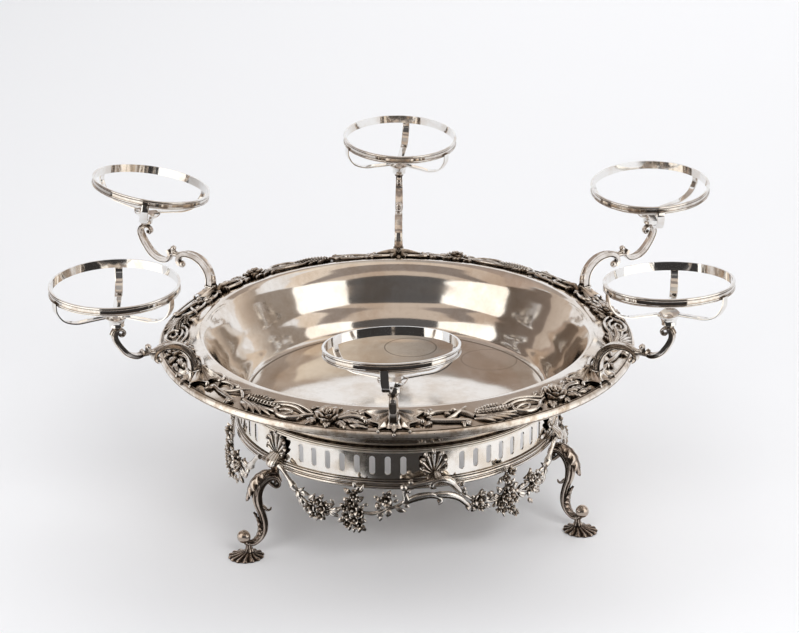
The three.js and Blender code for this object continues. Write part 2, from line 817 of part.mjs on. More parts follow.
function armGeometry(state) {
  const thick = armThickness;
  const thin = armTipThickness;
  const lower = uprightBar(armPoints(lowerScroll), [
    [thick, armWidth * 1.15], [thick, armWidth], [thick * 0.95, armWidth], [thick * 0.8, armWidth],
    [thin * 1.15, armWidth * 0.95], [thin, armWidth * 0.9], [thin * 0.8, armWidth * 0.85],
  ], 10, 4);
  const upper = uprightBar(armPoints(wornScroll(state)), [
    [thin * 0.7, armWidth * 0.8], [thin * 0.9, armWidth * 0.9], [thin, armWidth], [thin * 1.15, armWidth],
    [thin * 1.1, armWidth * 0.95], [thin, armWidth * 0.9], [thin, armWidth * 0.8],
  ], 11, 4);
  const [curlEnd] = armPoints([[0.46, 0.29]]);
  const curlBall = ball(thin * 0.75, curlEnd.x, 0, curlEnd.z, 6);
  const [knotEnd, knotStart] = armPoints([[0.665, 0.45], [0.47, 0.46]]);
  const knot = uprightBar([knotStart, knotEnd], [[thin, armWidth * 0.8], [thin, armWidth * 0.8]], 1, 4);
  const [knobCentre] = armPoints([[0.6, 0.53]]);
  const knob = ball(thin * 0.75, knobCentre.x, 0, knobCentre.z, 6);
  const peg = box(pegWidth, pegWidth, pegLength + 2, socketRadius, 0, collarTop - pegLength / 2 + 1);
  const seat = seatOf(state);
  const boss = leaned(rod(bossRadius, -bossHeight, 0), state).translate(...seat);
  const spigotTop = cupWall + 2 * clearance + capHeight * 0.7;
  const spigot = leaned(rod(spigotRadius, -bossHeight / 2, spigotTop), state).translate(...seat);
  return join(lower, upper, curlBall, knot, knob, peg, boss, spigot);
}

// Dish rings and what carries them, about the spigot's axis with the seat at height zero

function dishRingGeometry() {
  const inner = ringRadius - ringWall;
  const profile = [
    [inner, ringRise - ringDepth],
    [ringRadius + reed * 0.6, ringRise - ringDepth],
    [ringRadius + reed, ringRise - ringDepth * 0.5],
    [ringRadius, ringRise],
    [inner, ringRise],
  ];
  return revolve(profile, ringFlats);
}

function cradleGeometry() {
  const low = strapRise;
  const top = ringRise - strapOverlap;
  const outer = ringRadius + reed + clearance + strapThickness / 2;
  const strap = uprightBar([
    new THREE.Vector3(cupRadius - cupWall / 2, 0, low - 1.2),
    new THREE.Vector3(cupRadius + (outer - cupRadius) * 0.3, 0, low - 0.8),
    new THREE.Vector3(outer - 17, 0, low),
    new THREE.Vector3(outer - 6.5, 0, low + 4.6),
    new THREE.Vector3(outer - 0.8, 0, (low + top) / 2 + 2),
    new THREE.Vector3(outer, 0, top),
  ], [[strapThickness * 1.42, strapWidth * 1.42], [strapThickness * 1.42, strapWidth * 1.42]], 6, 4);
  const straps = Array.from({ length: strapCount }, (_, k) => (
    strap.clone().rotateZ(radians((360 / strapCount) * k))
  ));
  const hole = spigotRadius + clearance;
  const cup = revolve([
    [hole, clearance],
    [cupRadius * 0.5, clearance],
    [cupRadius, clearance + cupHeight * 0.55],
    [cupRadius + 0.4, clearance + cupHeight + 1],
    [cupRadius - cupWall, clearance + cupHeight + 1],
    [cupRadius * 0.5, clearance + cupWall],
    [hole, clearance + cupWall],
  ], 10);
  return join(cup, ...straps);
}

function capGeometry() {
  const bottom = cupWall + 2 * clearance;
  const bore = spigotRadius + clearance;
  const boreTop = bottom + capHeight * 0.7 + clearance;
  return join(revolve([
    [bore, bottom],
    [capRadius, bottom],
    [capRadius, bottom + capHeight * 0.45],
    [capRadius * 0.75, bottom + capHeight * 0.85],
    [0, bottom + capHeight],
    [0, boreTop],
    [bore, boreTop],
  ], smallFlats));
}

function addArms() {
  const socket = socketGeometry();
  const border = borderGeometry();
  const dishRing = dishRingGeometry();
  const cradle = cradleGeometry();
  const cap = capGeometry();
  for (let k = 0; k < armCount; k += 1) {
    const place = spoke((360 / armCount) * k);
    const state = wear[k % wear.length];
    add(`leaf_socket_${k + 1}`, socket, cast, place);
    add(`border_${k + 1}`, border, cast, place);
    add(`arm_${k + 1}`, armGeometry(state), tarnished, place);

    const seat = new THREE.Group();
    seat.position.set(...seatOf(state));
    seat.rotation.set(radians(state.side), radians(-state.outer), radians(state.turned));
    place.add(seat);
    add(`cradle_${k + 1}`, cradle, brushed, seat);
    add(`dish_ring_${k + 1}`, dishRing, brushed, seat);
    add(`cap_nut_${k + 1}`, cap, tarnished, seat);
  }
}

addBowl();
addGallery();
addBase();
addArms();

export default centerpiece;
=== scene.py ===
"""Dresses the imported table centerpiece: plated sheet, cast ornament, arms and dish rings, in a studio."""

import bmesh
import bpy
import numpy as np
from mathutils import Matrix, Vector


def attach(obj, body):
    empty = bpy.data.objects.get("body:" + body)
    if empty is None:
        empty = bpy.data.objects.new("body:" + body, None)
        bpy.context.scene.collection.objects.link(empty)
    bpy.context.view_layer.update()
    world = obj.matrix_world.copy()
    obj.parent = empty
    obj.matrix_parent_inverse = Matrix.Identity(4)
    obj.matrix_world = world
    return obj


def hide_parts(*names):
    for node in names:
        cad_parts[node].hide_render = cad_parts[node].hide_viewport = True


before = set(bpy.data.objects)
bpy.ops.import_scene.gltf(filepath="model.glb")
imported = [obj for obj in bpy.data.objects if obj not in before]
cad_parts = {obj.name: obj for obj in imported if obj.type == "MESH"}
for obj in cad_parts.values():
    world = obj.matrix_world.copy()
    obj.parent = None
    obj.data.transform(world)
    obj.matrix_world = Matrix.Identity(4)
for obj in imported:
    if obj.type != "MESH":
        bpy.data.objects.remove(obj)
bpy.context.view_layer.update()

# Bowl
# One raised sheet of plated copper: a flat floor with a crease at its edge, a deep wall, and a brim
# that falls towards its edge. The plate is bright, with warm tarnish where polishing cloths miss it.

SHEET, PROFILE_POINTS, TURN_STEPS = 1.6, 190, 256
WELD = 2e-7  # metres: points nearer than this are one
# The black is that of oxide and of painted shade in hollows.
SPECK_BROWN, STAIN_BROWN, OXIDE_AND_SHADE_BLACK = (0.16, 0.115, 0.075, 1), (0.12, 0.09, 0.065, 1), (0.04, 0.03, 0.023, 1)
# In metres: a fine speck, a patch of specks, a patch of oxide, a slow wave, a hair scratch, and how far the oxide
# and painted shade of a hollow reach.
SPECK, SPECK_PATCH, OXIDE_PATCH, SLOW_WAVE, HAIR, HOLLOW = 0.0012, 0.006, 0.004, 0.03, 0.0009, 0.0034


def through(points, count):
    """Evenly spaced points on the centripetal Catmull-Rom curve through some points: each stretch is
    the cubic blend of the two points at its ends and the two beyond them."""
    p = np.asarray(points, float)
    p = np.vstack([2 * p[0] - p[1], p, 2 * p[-1] - p[-2]])
    t = np.concatenate([[0], np.cumsum(np.sqrt(np.linalg.norm(np.diff(p, axis=0), axis=1)))])
    x = np.linspace(t[1], t[-2], 60 * len(p))
    k = np.clip(np.searchsorted(t, x, side="right") - 1, 1, len(p) - 3)
    t0, t1, t2, t3 = (t[k + n][:, None] for n in (-1, 0, 1, 2))
    p0, p1, p2, p3 = (p[k + n] for n in (-1, 0, 1, 2))
    x = x[:, None]
    a = ((t1 - x) * p0 + (x - t0) * p1) / (t1 - t0)
    b = ((t2 - x) * p1 + (x - t1) * p2) / (t2 - t1)
    c = ((t3 - x) * p2 + (x - t2) * p3) / (t3 - t2)
    a = ((t2 - x) * a + (x - t0) * b) / (t2 - t0)
    c = ((t3 - x) * b + (x - t1) * c) / (t3 - t1)
    fine = ((t2 - x) * a + (x - t1) * c) / (t2 - t1)
    run = np.concatenate([[0], np.cumsum(np.linalg.norm(np.diff(fine, axis=0), axis=1))])
    at = np.linspace(0, run[-1], count)
    return np.column_stack([np.interp(at, run, axis) for axis in fine.T])


def faces_of(rows, columns, join_rows, join_columns):
    """The four corners of each face of a grid, as numbers of its points counted row by row."""
    r = np.arange(rows if join_rows else rows - 1)[:, None]
    c = np.arange(columns if join_columns else columns - 1)[None, :]
    corners = [(r + a) % rows * columns + (c + b) % columns for a, b in ((0, 0), (0, 1), (1, 1), (1, 0))]
    return np.stack(corners, -1).reshape(-1, 4)


def patch(points, join_rows=False, join_columns=False, relief=1.0):
    """A grid of points as one part: its points, its faces, and how far each point stands out of the hollows, from
    0 to 1; the lower, the darker the oxide and painted shade on it."""
    rows, columns = points.shape[:2]
    relief = np.broadcast_to(relief, (rows, columns)).reshape(-1)
    return points.reshape(-1, 3), faces_of(rows, columns, join_rows, join_columns), relief


def lofted(rows, relief=1.0):
    """A closed body through rows of closed loops, each end drawn in to its own middle."""
    relief = np.broadcast_to(relief, rows.shape[:2])
    ends = np.repeat(rows[[0, -1]].mean(axis=1, keepdims=True), rows.shape[1], axis=1)
    rows = np.concatenate([ends[:1], rows, ends[1:]])
    relief = np.concatenate([relief[:1], relief, relief[-1:]])
    return patch(rows, False, True, relief)


def around(count):
    """Even steps of a full turn, in radians."""
    return np.linspace(0, 2 * np.pi, count, endpoint=False)


def revolved(profile, steps=TURN_STEPS, relief=1.0):
    """A closed profile of radius r and height z turned about the Z axis: x = r sin a, y = -r cos a."""
    a = around(steps)[:, None]
    r, z = np.asarray(profile, float).T
    return patch(np.stack([r * np.sin(a), -r * np.cos(a), z + 0 * a], -1), True, True, relief)


def linked(name, data):
    """A new object of the scene, with its mesh, lamp or camera."""
    made = bpy.data.objects.new(name, data)
    bpy.context.scene.collection.objects.link(made)
    return made


def new_finish(name):
    """A new material with nodes, and its node tree."""
    finish = bpy.data.materials.new(name)
    finish.use_nodes = True
    return finish, finish.node_tree


def metal_body(name, parts, finish, crease=38):
    """One mesh in metres from parts in millimetres: the points that meet are welded, the faces turned
    outwards, and the edges sharper than the crease angle kept sharp."""
    shifts = np.cumsum([0] + [len(points) for points, _, _ in parts])
    mesh = bpy.data.meshes.new(name)
    quads = np.vstack([faces + shift for (_, faces, _), shift in zip(parts, shifts)])
    mesh.from_pydata(np.vstack([points for points, _, _ in parts]) / 1000, [], quads.tolist())
    relief = mesh.attributes.new("relief", "FLOAT", "POINT")
    relief.data.foreach_set("value", np.concatenate([r for _, _, r in parts]).astype(np.float32))
    work = bmesh.new()
    work.from_mesh(mesh)
    bmesh.ops.remove_doubles(work, verts=work.verts, dist=WELD)
    bmesh.ops.recalc_face_normals(work, faces=work.faces)
    work.to_mesh(mesh)
    work.free()
    mesh.polygons.foreach_set("use_smooth", np.ones(len(mesh.polygons), bool))
    mesh.set_sharp_from_angle(angle=np.radians(crease))
    mesh.materials.append(finish)
    return linked(name, mesh)


def node(tree, kind, inputs, **settings):
    """One shader node. Each input is given by name or number, as a value or as the output that feeds it."""
    made = tree.nodes.new("ShaderNode" + kind)
    for key, value in settings.items():
        setattr(made, key, value)
    for key, value in inputs.items():
        if isinstance(value, bpy.types.NodeSocket):
            tree.links.new(value, made.inputs[key])
        else:
            made.inputs[key].default_value = value
    return made


def silver(name, clean, toned, rough, tone, patch_size, wave=0.0, dark=None, speckle=0.0, scratch=0.0, rings=()):
    """Silver plate: a clean colour, a warm tone in soft patches, fine specks, a slow wave and hair scratches in
    the polish, thin dark rings (x, y, radius, share), and dark oxide with painted shade in the hollows and beside
    other parts, where the open share of a place is between the two of dark. The most open places keep the clean
    colour, as polished and unshaded."""
    finish, tree = new_finish(name)
    shader = tree.nodes["Principled BSDF"]
    shader.inputs["Metallic"].default_value = 1.0
    place = node(tree, "TexCoord", {}).outputs["Object"]

    def noise(size, detail, rough_share=0.5, stretch=None):
        """Noise of a grain size in metres on the object's coordinates, which may be stretched."""
        where = place
        if stretch:
            where = node(tree, "Mapping", {"Vector": place, "Scale": stretch}).outputs[0]
        made = node(tree, "TexNoise", {"Vector": where, "Scale": 1 / size, "Detail": detail})
        made.inputs["Roughness"].default_value = rough_share
        return made.outputs["Fac"]

    def ramp(value, low, high, to_low=0.0, to_high=1.0):
        """A smooth step: the low value gives one end, the high value the other, with an S between."""
        made = node(tree, "MapRange", {0: value, 1: low, 2: high, 3: to_low, 4: to_high})
        made.interpolation_type = "SMOOTHSTEP"
        return made.outputs[0]

    def mix(share, first, second):
        """The first colour, gone over to the second by a share."""
        made = node(tree, "Mix", {0: share, 6: first, 7: second}, data_type="RGBA")
        return made.outputs[2]

    patches = ramp(noise(patch_size, 5, 0.62), 0.42, 0.68, 0.0, tone)
    color = mix(patches, (*clean, 1), (*toned, 1))
    gloss = ramp(patches, 0, 1, rough, rough + 0.16)
    if speckle:
        specks = ramp(noise(SPECK, 3, 0.6), 0.6, 0.72, 0.0, speckle)
        blots = ramp(noise(SPECK_PATCH, 2), 0.46, 0.6)
        specks = node(tree, "Math", {0: specks, 1: blots}, operation="MULTIPLY").outputs[0]
        color = mix(specks, color, SPECK_BROWN)
    for x, y, radius, share in rings:
        aside = node(tree, "VectorMath", {0: place, 1: (x, y, 0)}, operation="SUBTRACT").outputs[0]
        flat = node(tree, "VectorMath", {0: aside, 1: (1, 1, 0)}, operation="MULTIPLY").outputs[0]
        far = node(tree, "VectorMath", {0: flat}, operation="LENGTH").outputs["Value"]
        off = node(tree, "Math", {0: far, 1: radius}, operation="SUBTRACT").outputs[0]
        off = node(tree, "Math", {0: off}, operation="ABSOLUTE").outputs[0]
        color = mix(ramp(off, 0.0003, 0.0009, share, 0), color, STAIN_BROWN)
    if dark:
        # Painted shade with the oxide: ambient occlusion and the relief darken hollows and places near other
        # parts.
        hollow = node(tree, "AmbientOcclusion", {"Distance": HOLLOW}, samples=8).outputs["AO"]
        relief = node(tree, "Attribute", {}, attribute_name="relief").outputs["Fac"]
        open_share = node(tree, "Math", {0: hollow, 1: relief}, operation="MULTIPLY").outputs[0]
        uneven = ramp(noise(OXIDE_PATCH, 3), 0.3, 0.7, -0.07, 0.07)
        open_share = node(tree, "Math", {0: open_share, 1: uneven}, operation="ADD").outputs[0]
        unshaded_and_polished = ramp(open_share, dark[1] - 0.12, 1.0)
        color = mix(unshaded_and_polished, (*(0.62 * np.array(toned)), 1), color)
        clear = ramp(open_share, dark[0], dark[1])
        color = mix(clear, OXIDE_AND_SHADE_BLACK, color)
        gloss = ramp(clear, 0, 1, 0.45, rough)
    tree.links.new(color, shader.inputs["Base Color"])
    tree.links.new(gloss, shader.inputs["Roughness"])
    bumps = []
    if wave:
        bumps.append((noise(SLOW_WAVE, 1.5), wave))
    if scratch:
        bumps.append((noise(HAIR, 2, 0.7, (1, 1, 0.14)), scratch))
    normal = None
    for height, distance in bumps:
        bump = node(tree, "Bump", {"Height": height, "Strength": 1.0, "Distance": distance})
        if normal:
            tree.links.new(normal, bump.inputs["Normal"])
        normal = bump.outputs[0]
    if normal:
        tree.links.new(normal, shader.inputs["Normal"])
    return finish


# The line in the crease of the floor, and two faint rings like those that a dish leaves.
FLOOR_RINGS = [(0, 0, 0.1297, 0.85), (0.0115, 0.0963, 0.0235, 0.6), (0.0823, 0.0678, 0.025, 0.3)]
# bowl_plate's dark paints oxide and shade where the sheet is closed in, as round the castings on the brim.
bowl_plate = silver("bowl_plate", (0.86, 0.82, 0.77), (0.68, 0.58, 0.48), rough=0.085, tone=0.7, patch_size=0.05,
                    wave=0.00012, dark=(0.12, 0.68), speckle=0.25, scratch=0.000003, rings=FLOOR_RINGS)
inner = through([(0, 111), (60, 110.6), (105, 109.8), (126, 109.2), (130.9, 109.3), (133.0, 110.4),
                 (135.3, 113.6), (139.4, 121), (143.2, 127), (147.2, 133), (151.5, 141), (156, 149.3),
                 (160.2, 157), (163.6, 162), (166.4, 165.7), (168.8, 167.7), (172, 167.6), (186, 164.1),
                 (203.0, 160.5)], PROFILE_POINTS)


def directions(line):
    """The unit direction of a line at each of its points."""
    along = np.gradient(line, axis=0)
    return along / np.linalg.norm(along, axis=1)[:, None]


def offset(profile, distance):
    """A profile moved square to itself by a distance, downwards and outwards for one that runs outwards."""
    along = directions(profile)
    return profile + distance * np.column_stack([along[:, 1], -along[:, 0]])


outer = offset(inner, SHEET)
outer[0] = 0, inner[0, 1] - SHEET
# The underside is painted a little darker than the upper side: painted shade under the brim.
upper_side = np.arange(2 * len(inner)) < len(inner)
bowl_wall = revolved(np.vstack([inner, outer[::-1]]), relief=np.where(upper_side, 1, 0.95))
bowl = metal_body("bowl_sheet", [bowl_wall], bowl_plate)
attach(bowl, "base")
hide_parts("bowl")

# Brim edge
# A drawn wire with a rounded face and a fine groove, soldered round the edge of the brim. Handling has worn
# its plate to a dull, specked face.

edge_plate = silver("edge_plate", (0.97, 0.91, 0.84), (0.52, 0.41, 0.31), rough=0.36, tone=0.85, patch_size=0.011,
                    dark=(0.25, 0.7), speckle=1.0, scratch=0.000004)
edge_profile = [(202.4, 160.7), (202.6, 161.2), (203.0, 161.3), (203.35, 161.0), (203.5, 160.5), (203.75, 160.75),
                (204.5, 160.4), (205.2, 159.8), (205.75, 158.95), (206.1, 157.9), (206.3, 156.8), (206.35, 155.9),
                (206.05, 155.6), (206.2, 155.3), (206.0, 154.8), (205.4, 154.5), (204.4, 154.4), (203.2, 155.0)]
edge_relief = [0.5, 0.8, 0.9, 0.4, 0.08, 0.5, 1, 1, 1, 1, 1, 0.8, 0.15, 0.8, 1, 1, 1, 1]
edge = metal_body("brim_edge_wire", [revolved(edge_profile, relief=edge_relief)], edge_plate, 50)
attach(edge, "base")
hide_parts("rim_moulding")

# Gallery band
# A rolled strip of plate, pierced with upright round-ended slots, eight to each half bay, and closed to a
# ring that carries the bowl.

# In degrees: the turn of the base against the bowl, one of its three bays, and half a bay.
BASE_TURN, BAY, HALF_BAY = 13.2, 120.0, 60
BAND_LOW, BAND_TOP, BAND_OUT, BAND_IN = 80.0, 118.0, 139.0, 137.8
# The slots of a half bay: in degrees their pitch, where they start and their shift towards the middle shell,
# and in millimetres half a slot's width, half the height of its straight part, and the height of its middle.
SLOTS, SLOT_PITCH, SLOT_START, SLOT_SHIFT = 8, 5.36, 11.2, 0.9
SLOT_HALF, SLOT_RUN, SLOT_MIDDLE = 2.5, 5.85, 100.75
STRAIGHT, ARC = 0.8, 0.2  # shares of a cell's side that lead to the straight part and to the round end

band_plate = silver("band_plate", (0.95, 0.91, 0.85), (0.74, 0.62, 0.48), rough=0.08, tone=0.6, patch_size=0.03,
                    wave=0.00012, speckle=0.2, scratch=0.000003)


def on_drum(angle, radius, height):
    """Points at an angle in degrees from -Y towards +X, at a radius and a height."""
    a = np.radians(angle)
    return np.stack(np.broadcast_arrays(radius * np.sin(a), -radius * np.cos(a), height), -1)


def pierced_band():
    """Each slot sits in a cell of the band: loops lead from the cell's edge to the slot's outline on the
    outside, through the wall, and back to the edge on the inside. Plain cells fill the rest."""
    u = np.linspace(-1, 1, 7)
    v = np.linspace(-1, 1, 19)
    edge = np.vstack([np.column_stack([u, -1 + 0 * u])[:-1], np.column_stack([1 + 0 * v, v])[:-1],
                      np.column_stack([u[::-1], 1 + 0 * u])[:-1], np.column_stack([-1 + 0 * v, v[::-1]])[:-1]])
    ex, ey = edge.T
    flat = np.abs(ey) == 1
    bend = np.radians(np.where(flat, 90 - 60 * ex, np.clip((np.abs(ey) - STRAIGHT) / ARC, 0, 1) * 30))
    hole_x = np.where(flat, 1, np.sign(ex)) * SLOT_HALF * np.cos(bend)
    hole_z = np.sign(ey) * (SLOT_RUN + SLOT_HALF * np.sin(bend))
    hole_z = np.where(~flat & (np.abs(ey) <= STRAIGHT), SLOT_RUN * ey / STRAIGHT, hole_z)
    middle = (BAND_LOW + BAND_TOP) / 2
    cell = np.column_stack([ex * SLOT_PITCH / 2, middle + ey * (BAND_TOP - BAND_LOW) / 2])
    hole = np.column_stack([np.degrees(hole_x / BAND_OUT), SLOT_MIDDLE + hole_z])
    loops = [(share, BAND_OUT) for share in (0, 0.5, 0.85, 1)] + [(share, BAND_IN) for share in (1, 0.5, 0)]
    parts = []

    def rims(angles):
        """The strip's lower and upper edge faces along some angles."""
        for height in (BAND_LOW, BAND_TOP):
            parts.append(patch(np.array([on_drum(angles, radius, height) for radius in (BAND_OUT, BAND_IN)])))

    starts = [BASE_TURN - HALF_BAY + HALF_BAY * k for k in range(6)]
    for start, shift in zip(starts, [SLOT_SHIFT, -SLOT_SHIFT] * 3):
        for k in range(SLOTS):
            at = start + SLOT_START + shift + SLOT_PITCH * k
            outlines = [(cell + (hole - cell) * share, radius) for share, radius in loops]
            rows = [on_drum(at + outline[:, 0], radius, outline[:, 1]) for outline, radius in outlines]
            parts.append(patch(np.array(rows), False, True))
            rims(at + u * SLOT_PITCH / 2)
        first = start + SLOT_START + shift + SLOT_PITCH * (SLOTS - 0.5)
        last = start + HALF_BAY + SLOT_START - shift - SLOT_PITCH / 2
        across = np.linspace(first, last, 19)[:, None]
        heights = (middle + v * (BAND_TOP - BAND_LOW) / 2)[None, :]
        for radius in (BAND_OUT, BAND_IN):
            parts.append(patch(on_drum(across, radius, heights)))
        rims(across[:, 0])
    return parts


band = metal_body("pierced_band", pierced_band(), band_plate)
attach(band, "base")
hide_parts("gallery_band")

# Gallery mouldings
# Drawn reeded wires soldered round the top and the bottom of the band. The top one is worn to a satin face, and
# its lowest reed is painted half dark, as the shade under the brim.

WIRE_IN, TOP_WIRE_LOW = 139.3, 112.7


def reeded(low, reeds):
    """A moulding turned about the axis: each reed, of a height, a reach and a clear share, is half a turn of a
    circle, and the groove between two is painted dark, as oxide and shade."""
    profile = [(WIRE_IN, low)]
    z = low
    for height, reach, _ in reeds:
        t = np.linspace(0, np.pi, 7)
        profile += [(WIRE_IN + reach - height / 2 + height / 2 * np.sin(a), z + height / 2 * (1 - np.cos(a)))
                    for a in t]
        z += height
    relief = [1, *(share * clear for _, _, clear in reeds for share in (0.12, 0.75, 1, 1, 1, 0.75, 0.12)), 1]
    return [revolved(profile + [(WIRE_IN, z)], relief=relief)]


wire_plate = silver("wire_plate", (0.84, 0.8, 0.75), (0.55, 0.45, 0.36), rough=0.1, tone=0.7, patch_size=0.02,
                    dark=(0.12, 0.5), speckle=0.3, scratch=0.000003)
satin_wire = silver("satin_wire", (0.97, 0.92, 0.85), (0.72, 0.6, 0.48), rough=0.42, tone=0.6, patch_size=0.02,
                    dark=(0.12, 0.5), speckle=0.3)
# The last top reed's clear share of 0.5 is painted shade.
top_reeds = [(2.0, 2.7, 1), (1.4, 2.2, 1), (1.1, 1.7, 0.5)]
bottom_reeds = [(3.0, 2.6, 1), (1.2, 1.9, 1), (2.6, 2.5, 1), (1.4, 1.4, 1)]
top_wire = metal_body("gallery_top_wire", reeded(TOP_WIRE_LOW, top_reeds), satin_wire, 60)
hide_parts("gallery_top_moulding")
bottom_wire = metal_body("gallery_bottom_wire", reeded(BAND_LOW, bottom_reeds), wire_plate, 60)
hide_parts("gallery_bottom_moulding")
for wire in (top_wire, bottom_wire):
    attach(wire, "base")

# Scallop shells
# Cast fan shells with a rolled foot, fixed to the band's mouldings. One hides the head of each leg, and one
# stands in each bay.

cast_silver = silver("cast_silver", (0.88, 0.84, 0.79), (0.54, 0.45, 0.37), rough=0.19, tone=0.75,
                     patch_size=0.012, dark=(0.13, 0.55), speckle=0.3)
# Of each leg: the degrees that it stands from its even third, and that it is turned on its own stud.
LEG_FIXING = [(1.4, -31), (-1.2, -10), (0, -20)]
MIDDLES = [BASE_TURN + BAY * k for k in range(3)]
LEG_ANGLES = [middle - BAY / 2 + shift for middle, (shift, _) in zip(MIDDLES, LEG_FIXING)]
LEG_PIVOT = 143.4
HUB_HEIGHT, FAN_SPREAD, RIBS = 92.8, 148, 9  # of a fan: millimetres, degrees to each side, and its ribs
FAN_HALF, FAN_MIDDLE, FAN_RISE = 12.6, 10.2, 12.9
ROLL_POINTS, CHANNELS = 16, 10


def reshaped(parts, place):
    """Parts with the three columns of their points put through a function."""
    return [(np.column_stack(place(*points.T)), faces, relief) for points, faces, relief in parts]


def turned(parts, angle, swing=0.0):
    """Parts made with +X outwards, swung about an upright line at the pivot and set at an angle round the bowl."""
    a, s = np.radians(angle - 90), np.radians(swing)

    def place(x, y, z):
        x = x - LEG_PIVOT
        x, y = x * np.cos(s) - y * np.sin(s) + LEG_PIVOT, x * np.sin(s) + y * np.cos(s)
        return x * np.cos(a) - y * np.sin(a), x * np.sin(a) + y * np.cos(a), z

    return reshaped(parts, place)


def ball(radius, centre, flats=16, squash=(1, 1, 1)):
    """A round bead: loops of latitude about the Z axis."""
    t = np.linspace(0, np.pi, flats // 2 + 1)[1:-1, None]
    a = around(flats)[None, :]
    rows = np.stack([np.sin(t) * np.cos(a), np.sin(t) * np.sin(a), np.cos(t) + 0 * a], -1)
    return lofted(rows * radius * np.array(squash) + np.array(centre))


def scallop(roll_low, roll_front):
    """The fan: nine ribs run from the hub to a rim that is an ellipse round a higher middle, y = half sin a and
    z = middle + rise cos a above the hub. They widen to a scalloped and beaded edge. The roll under the hub is
    channelled on its outer side."""
    turn = np.linspace(-1, 1, 97)[None, :]
    out = np.linspace(0.12, 1, 22)[:, None]
    wave = 0.5 + 0.5 * np.cos(np.pi * (RIBS - 1) * turn)
    ridge = wave ** (0.95 - 0.35 * out ** 4)
    fan = np.radians(FAN_SPREAD) * turn
    rim = 1 - 0.09 * (1 - wave ** 0.6) * out ** 4
    y = FAN_HALF * out * rim * np.sin(fan)
    z = HUB_HEIGHT + out * rim * (FAN_MIDDLE + FAN_RISE * np.cos(fan))
    bead = 1.8 * np.exp(-((out - 0.9) / 0.07) ** 2) * wave ** 1.3
    lift = 0.8 + 1.1 * np.sin(np.pi * out ** 0.8) + 2.1 * ridge * out ** 0.7 + bead - 0.5 * out ** 6
    front = np.stack([WIRE_IN + lift + 0 * y, y, z], -1)
    back = np.stack([WIRE_IN + 0 * y, y, z], -1)
    relief = np.concatenate([0.22 + 0.83 * ridge + 0 * out, 0.75 + 0 * y], 1)
    fan_part = lofted(np.concatenate([front, back[:, ::-1]], 1), relief)
    path = through([(140.8, 95), (roll_front + 1.9, 89.8), (roll_front + 3.7, roll_low + 2),
                    (roll_front + 3.9, roll_low)], ROLL_POINTS)
    at = np.linspace(0, 1, ROLL_POINTS)
    bend = [0, 0.2, 0.4, 0.6, 0.75, 0.87, 0.95, 1]
    width = np.interp(at, bend, [3.6, 5.2, 6.2, 6.4, 5.8, 4.4, 2.8, 1.2])
    thick = np.interp(at, bend, [0.9, 1.5, 2.2, 2.8, 2.9, 2.5, 1.8, 0.8])
    a = around(60)
    channel = (0.5 - 0.5 * np.cos(CHANNELS * a)) ** 2 * (np.cos(a) > -0.2)
    size = 1 - 0.06 * channel
    rows = np.stack([path[:, :1] + thick[:, None] * size * np.cos(a), width[:, None] * size * np.sin(a),
                     path[:, 1:] + 0 * a], -1)
    return [fan_part, lofted(rows, 1 - 0.45 * channel + 0 * path[:, :1])]


for k in range(3):
    for name, angle, low, front in ((f"leg_shell_{k + 1}", LEG_ANGLES[k], 83.2, 144.9),
                                    (f"middle_shell_{k + 1}", MIDDLES[k], 85.9, 142.2)):
        shell = metal_body(f"scallop_{name}", turned(scallop(low, front), angle), cast_silver)
        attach(shell, "base")
        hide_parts(name)

# Legs
# Cast cabriole legs with a leafy knee, an inner volute and a ball at the toe. A tab and a threaded
# stud hold each to the gallery, with a nut inside. Every leg was fixed a little turned.

leg_silver = silver("leg_silver", (0.64, 0.56, 0.49), (0.4, 0.31, 0.25), rough=0.15, tone=0.8, patch_size=0.014,
                    dark=(0.25, 0.75), speckle=0.4)
LEG_ROOT, LEG_REACH, LEG_RISE = 139, 32.6, 80
LEG_SHARES = [(0.02, 0.85), (0.13, 0.915), (0.33, 0.92), (0.53, 0.85), (0.62, 0.735), (0.6, 0.615),
              (0.51, 0.495), (0.46, 0.385), (0.48, 0.285), (0.59, 0.205), (0.75, 0.16), (0.93, 0.172),
              (1.0, 0.235)]
LEG_LINE = [(LEG_ROOT + LEG_REACH * out, LEG_RISE * up) for out, up in LEG_SHARES]
ANKLE = LEG_ROOT + LEG_REACH * 0.87
LEG_SIZES = [(0.55, 0.9), (1.0, 1), (1.25, 1.05), (1.2, 1.05), (1.05, 1), (0.95, 0.95), (0.78, 0.85),
             (0.78, 0.8), (0.8, 0.8), (0.75, 0.8), (0.6, 0.75), (0.55, 0.7), (0.5, 0.6)]
LEG_THICK, LEG_WIDE, LEG_STEPS, LEG_SIDES = 9.0, 9.4, 110, 48
STUD_HEIGHT, STUD_RADIUS = 84.6, 2
TAB_HEIGHT, TAB_HALF_WIDTH, TAB_HALF_HEIGHT = 78.8, 4, 8.4
CORNERS = np.array([(-1, -1), (1, -1), (1, 1), (-1, 1)])


def upright_sweep(line, thick, wide, shape, steps, relief=None):
    """A bar along a line in the upright plane through X. shape gives each loop's points as shares of half
    the thickness, square to the line, and of half the width, across it; it may change along the line."""
    path = through(line, steps)
    along = directions(path)
    at = np.linspace(0, 1, steps)
    thick = np.interp(at, np.linspace(0, 1, len(thick)), thick)[:, None]
    wide = np.interp(at, np.linspace(0, 1, len(wide)), wide)[:, None]
    lift, side = shape(at[:, None])
    rows = np.stack([path[:, :1] - along[:, 1:] * thick / 2 * lift, wide / 2 * side,
                     path[:, 1:] + along[:, :1] * thick / 2 * lift], -1)
    return lofted(rows, 1.0 if relief is None else relief(at[:, None]))


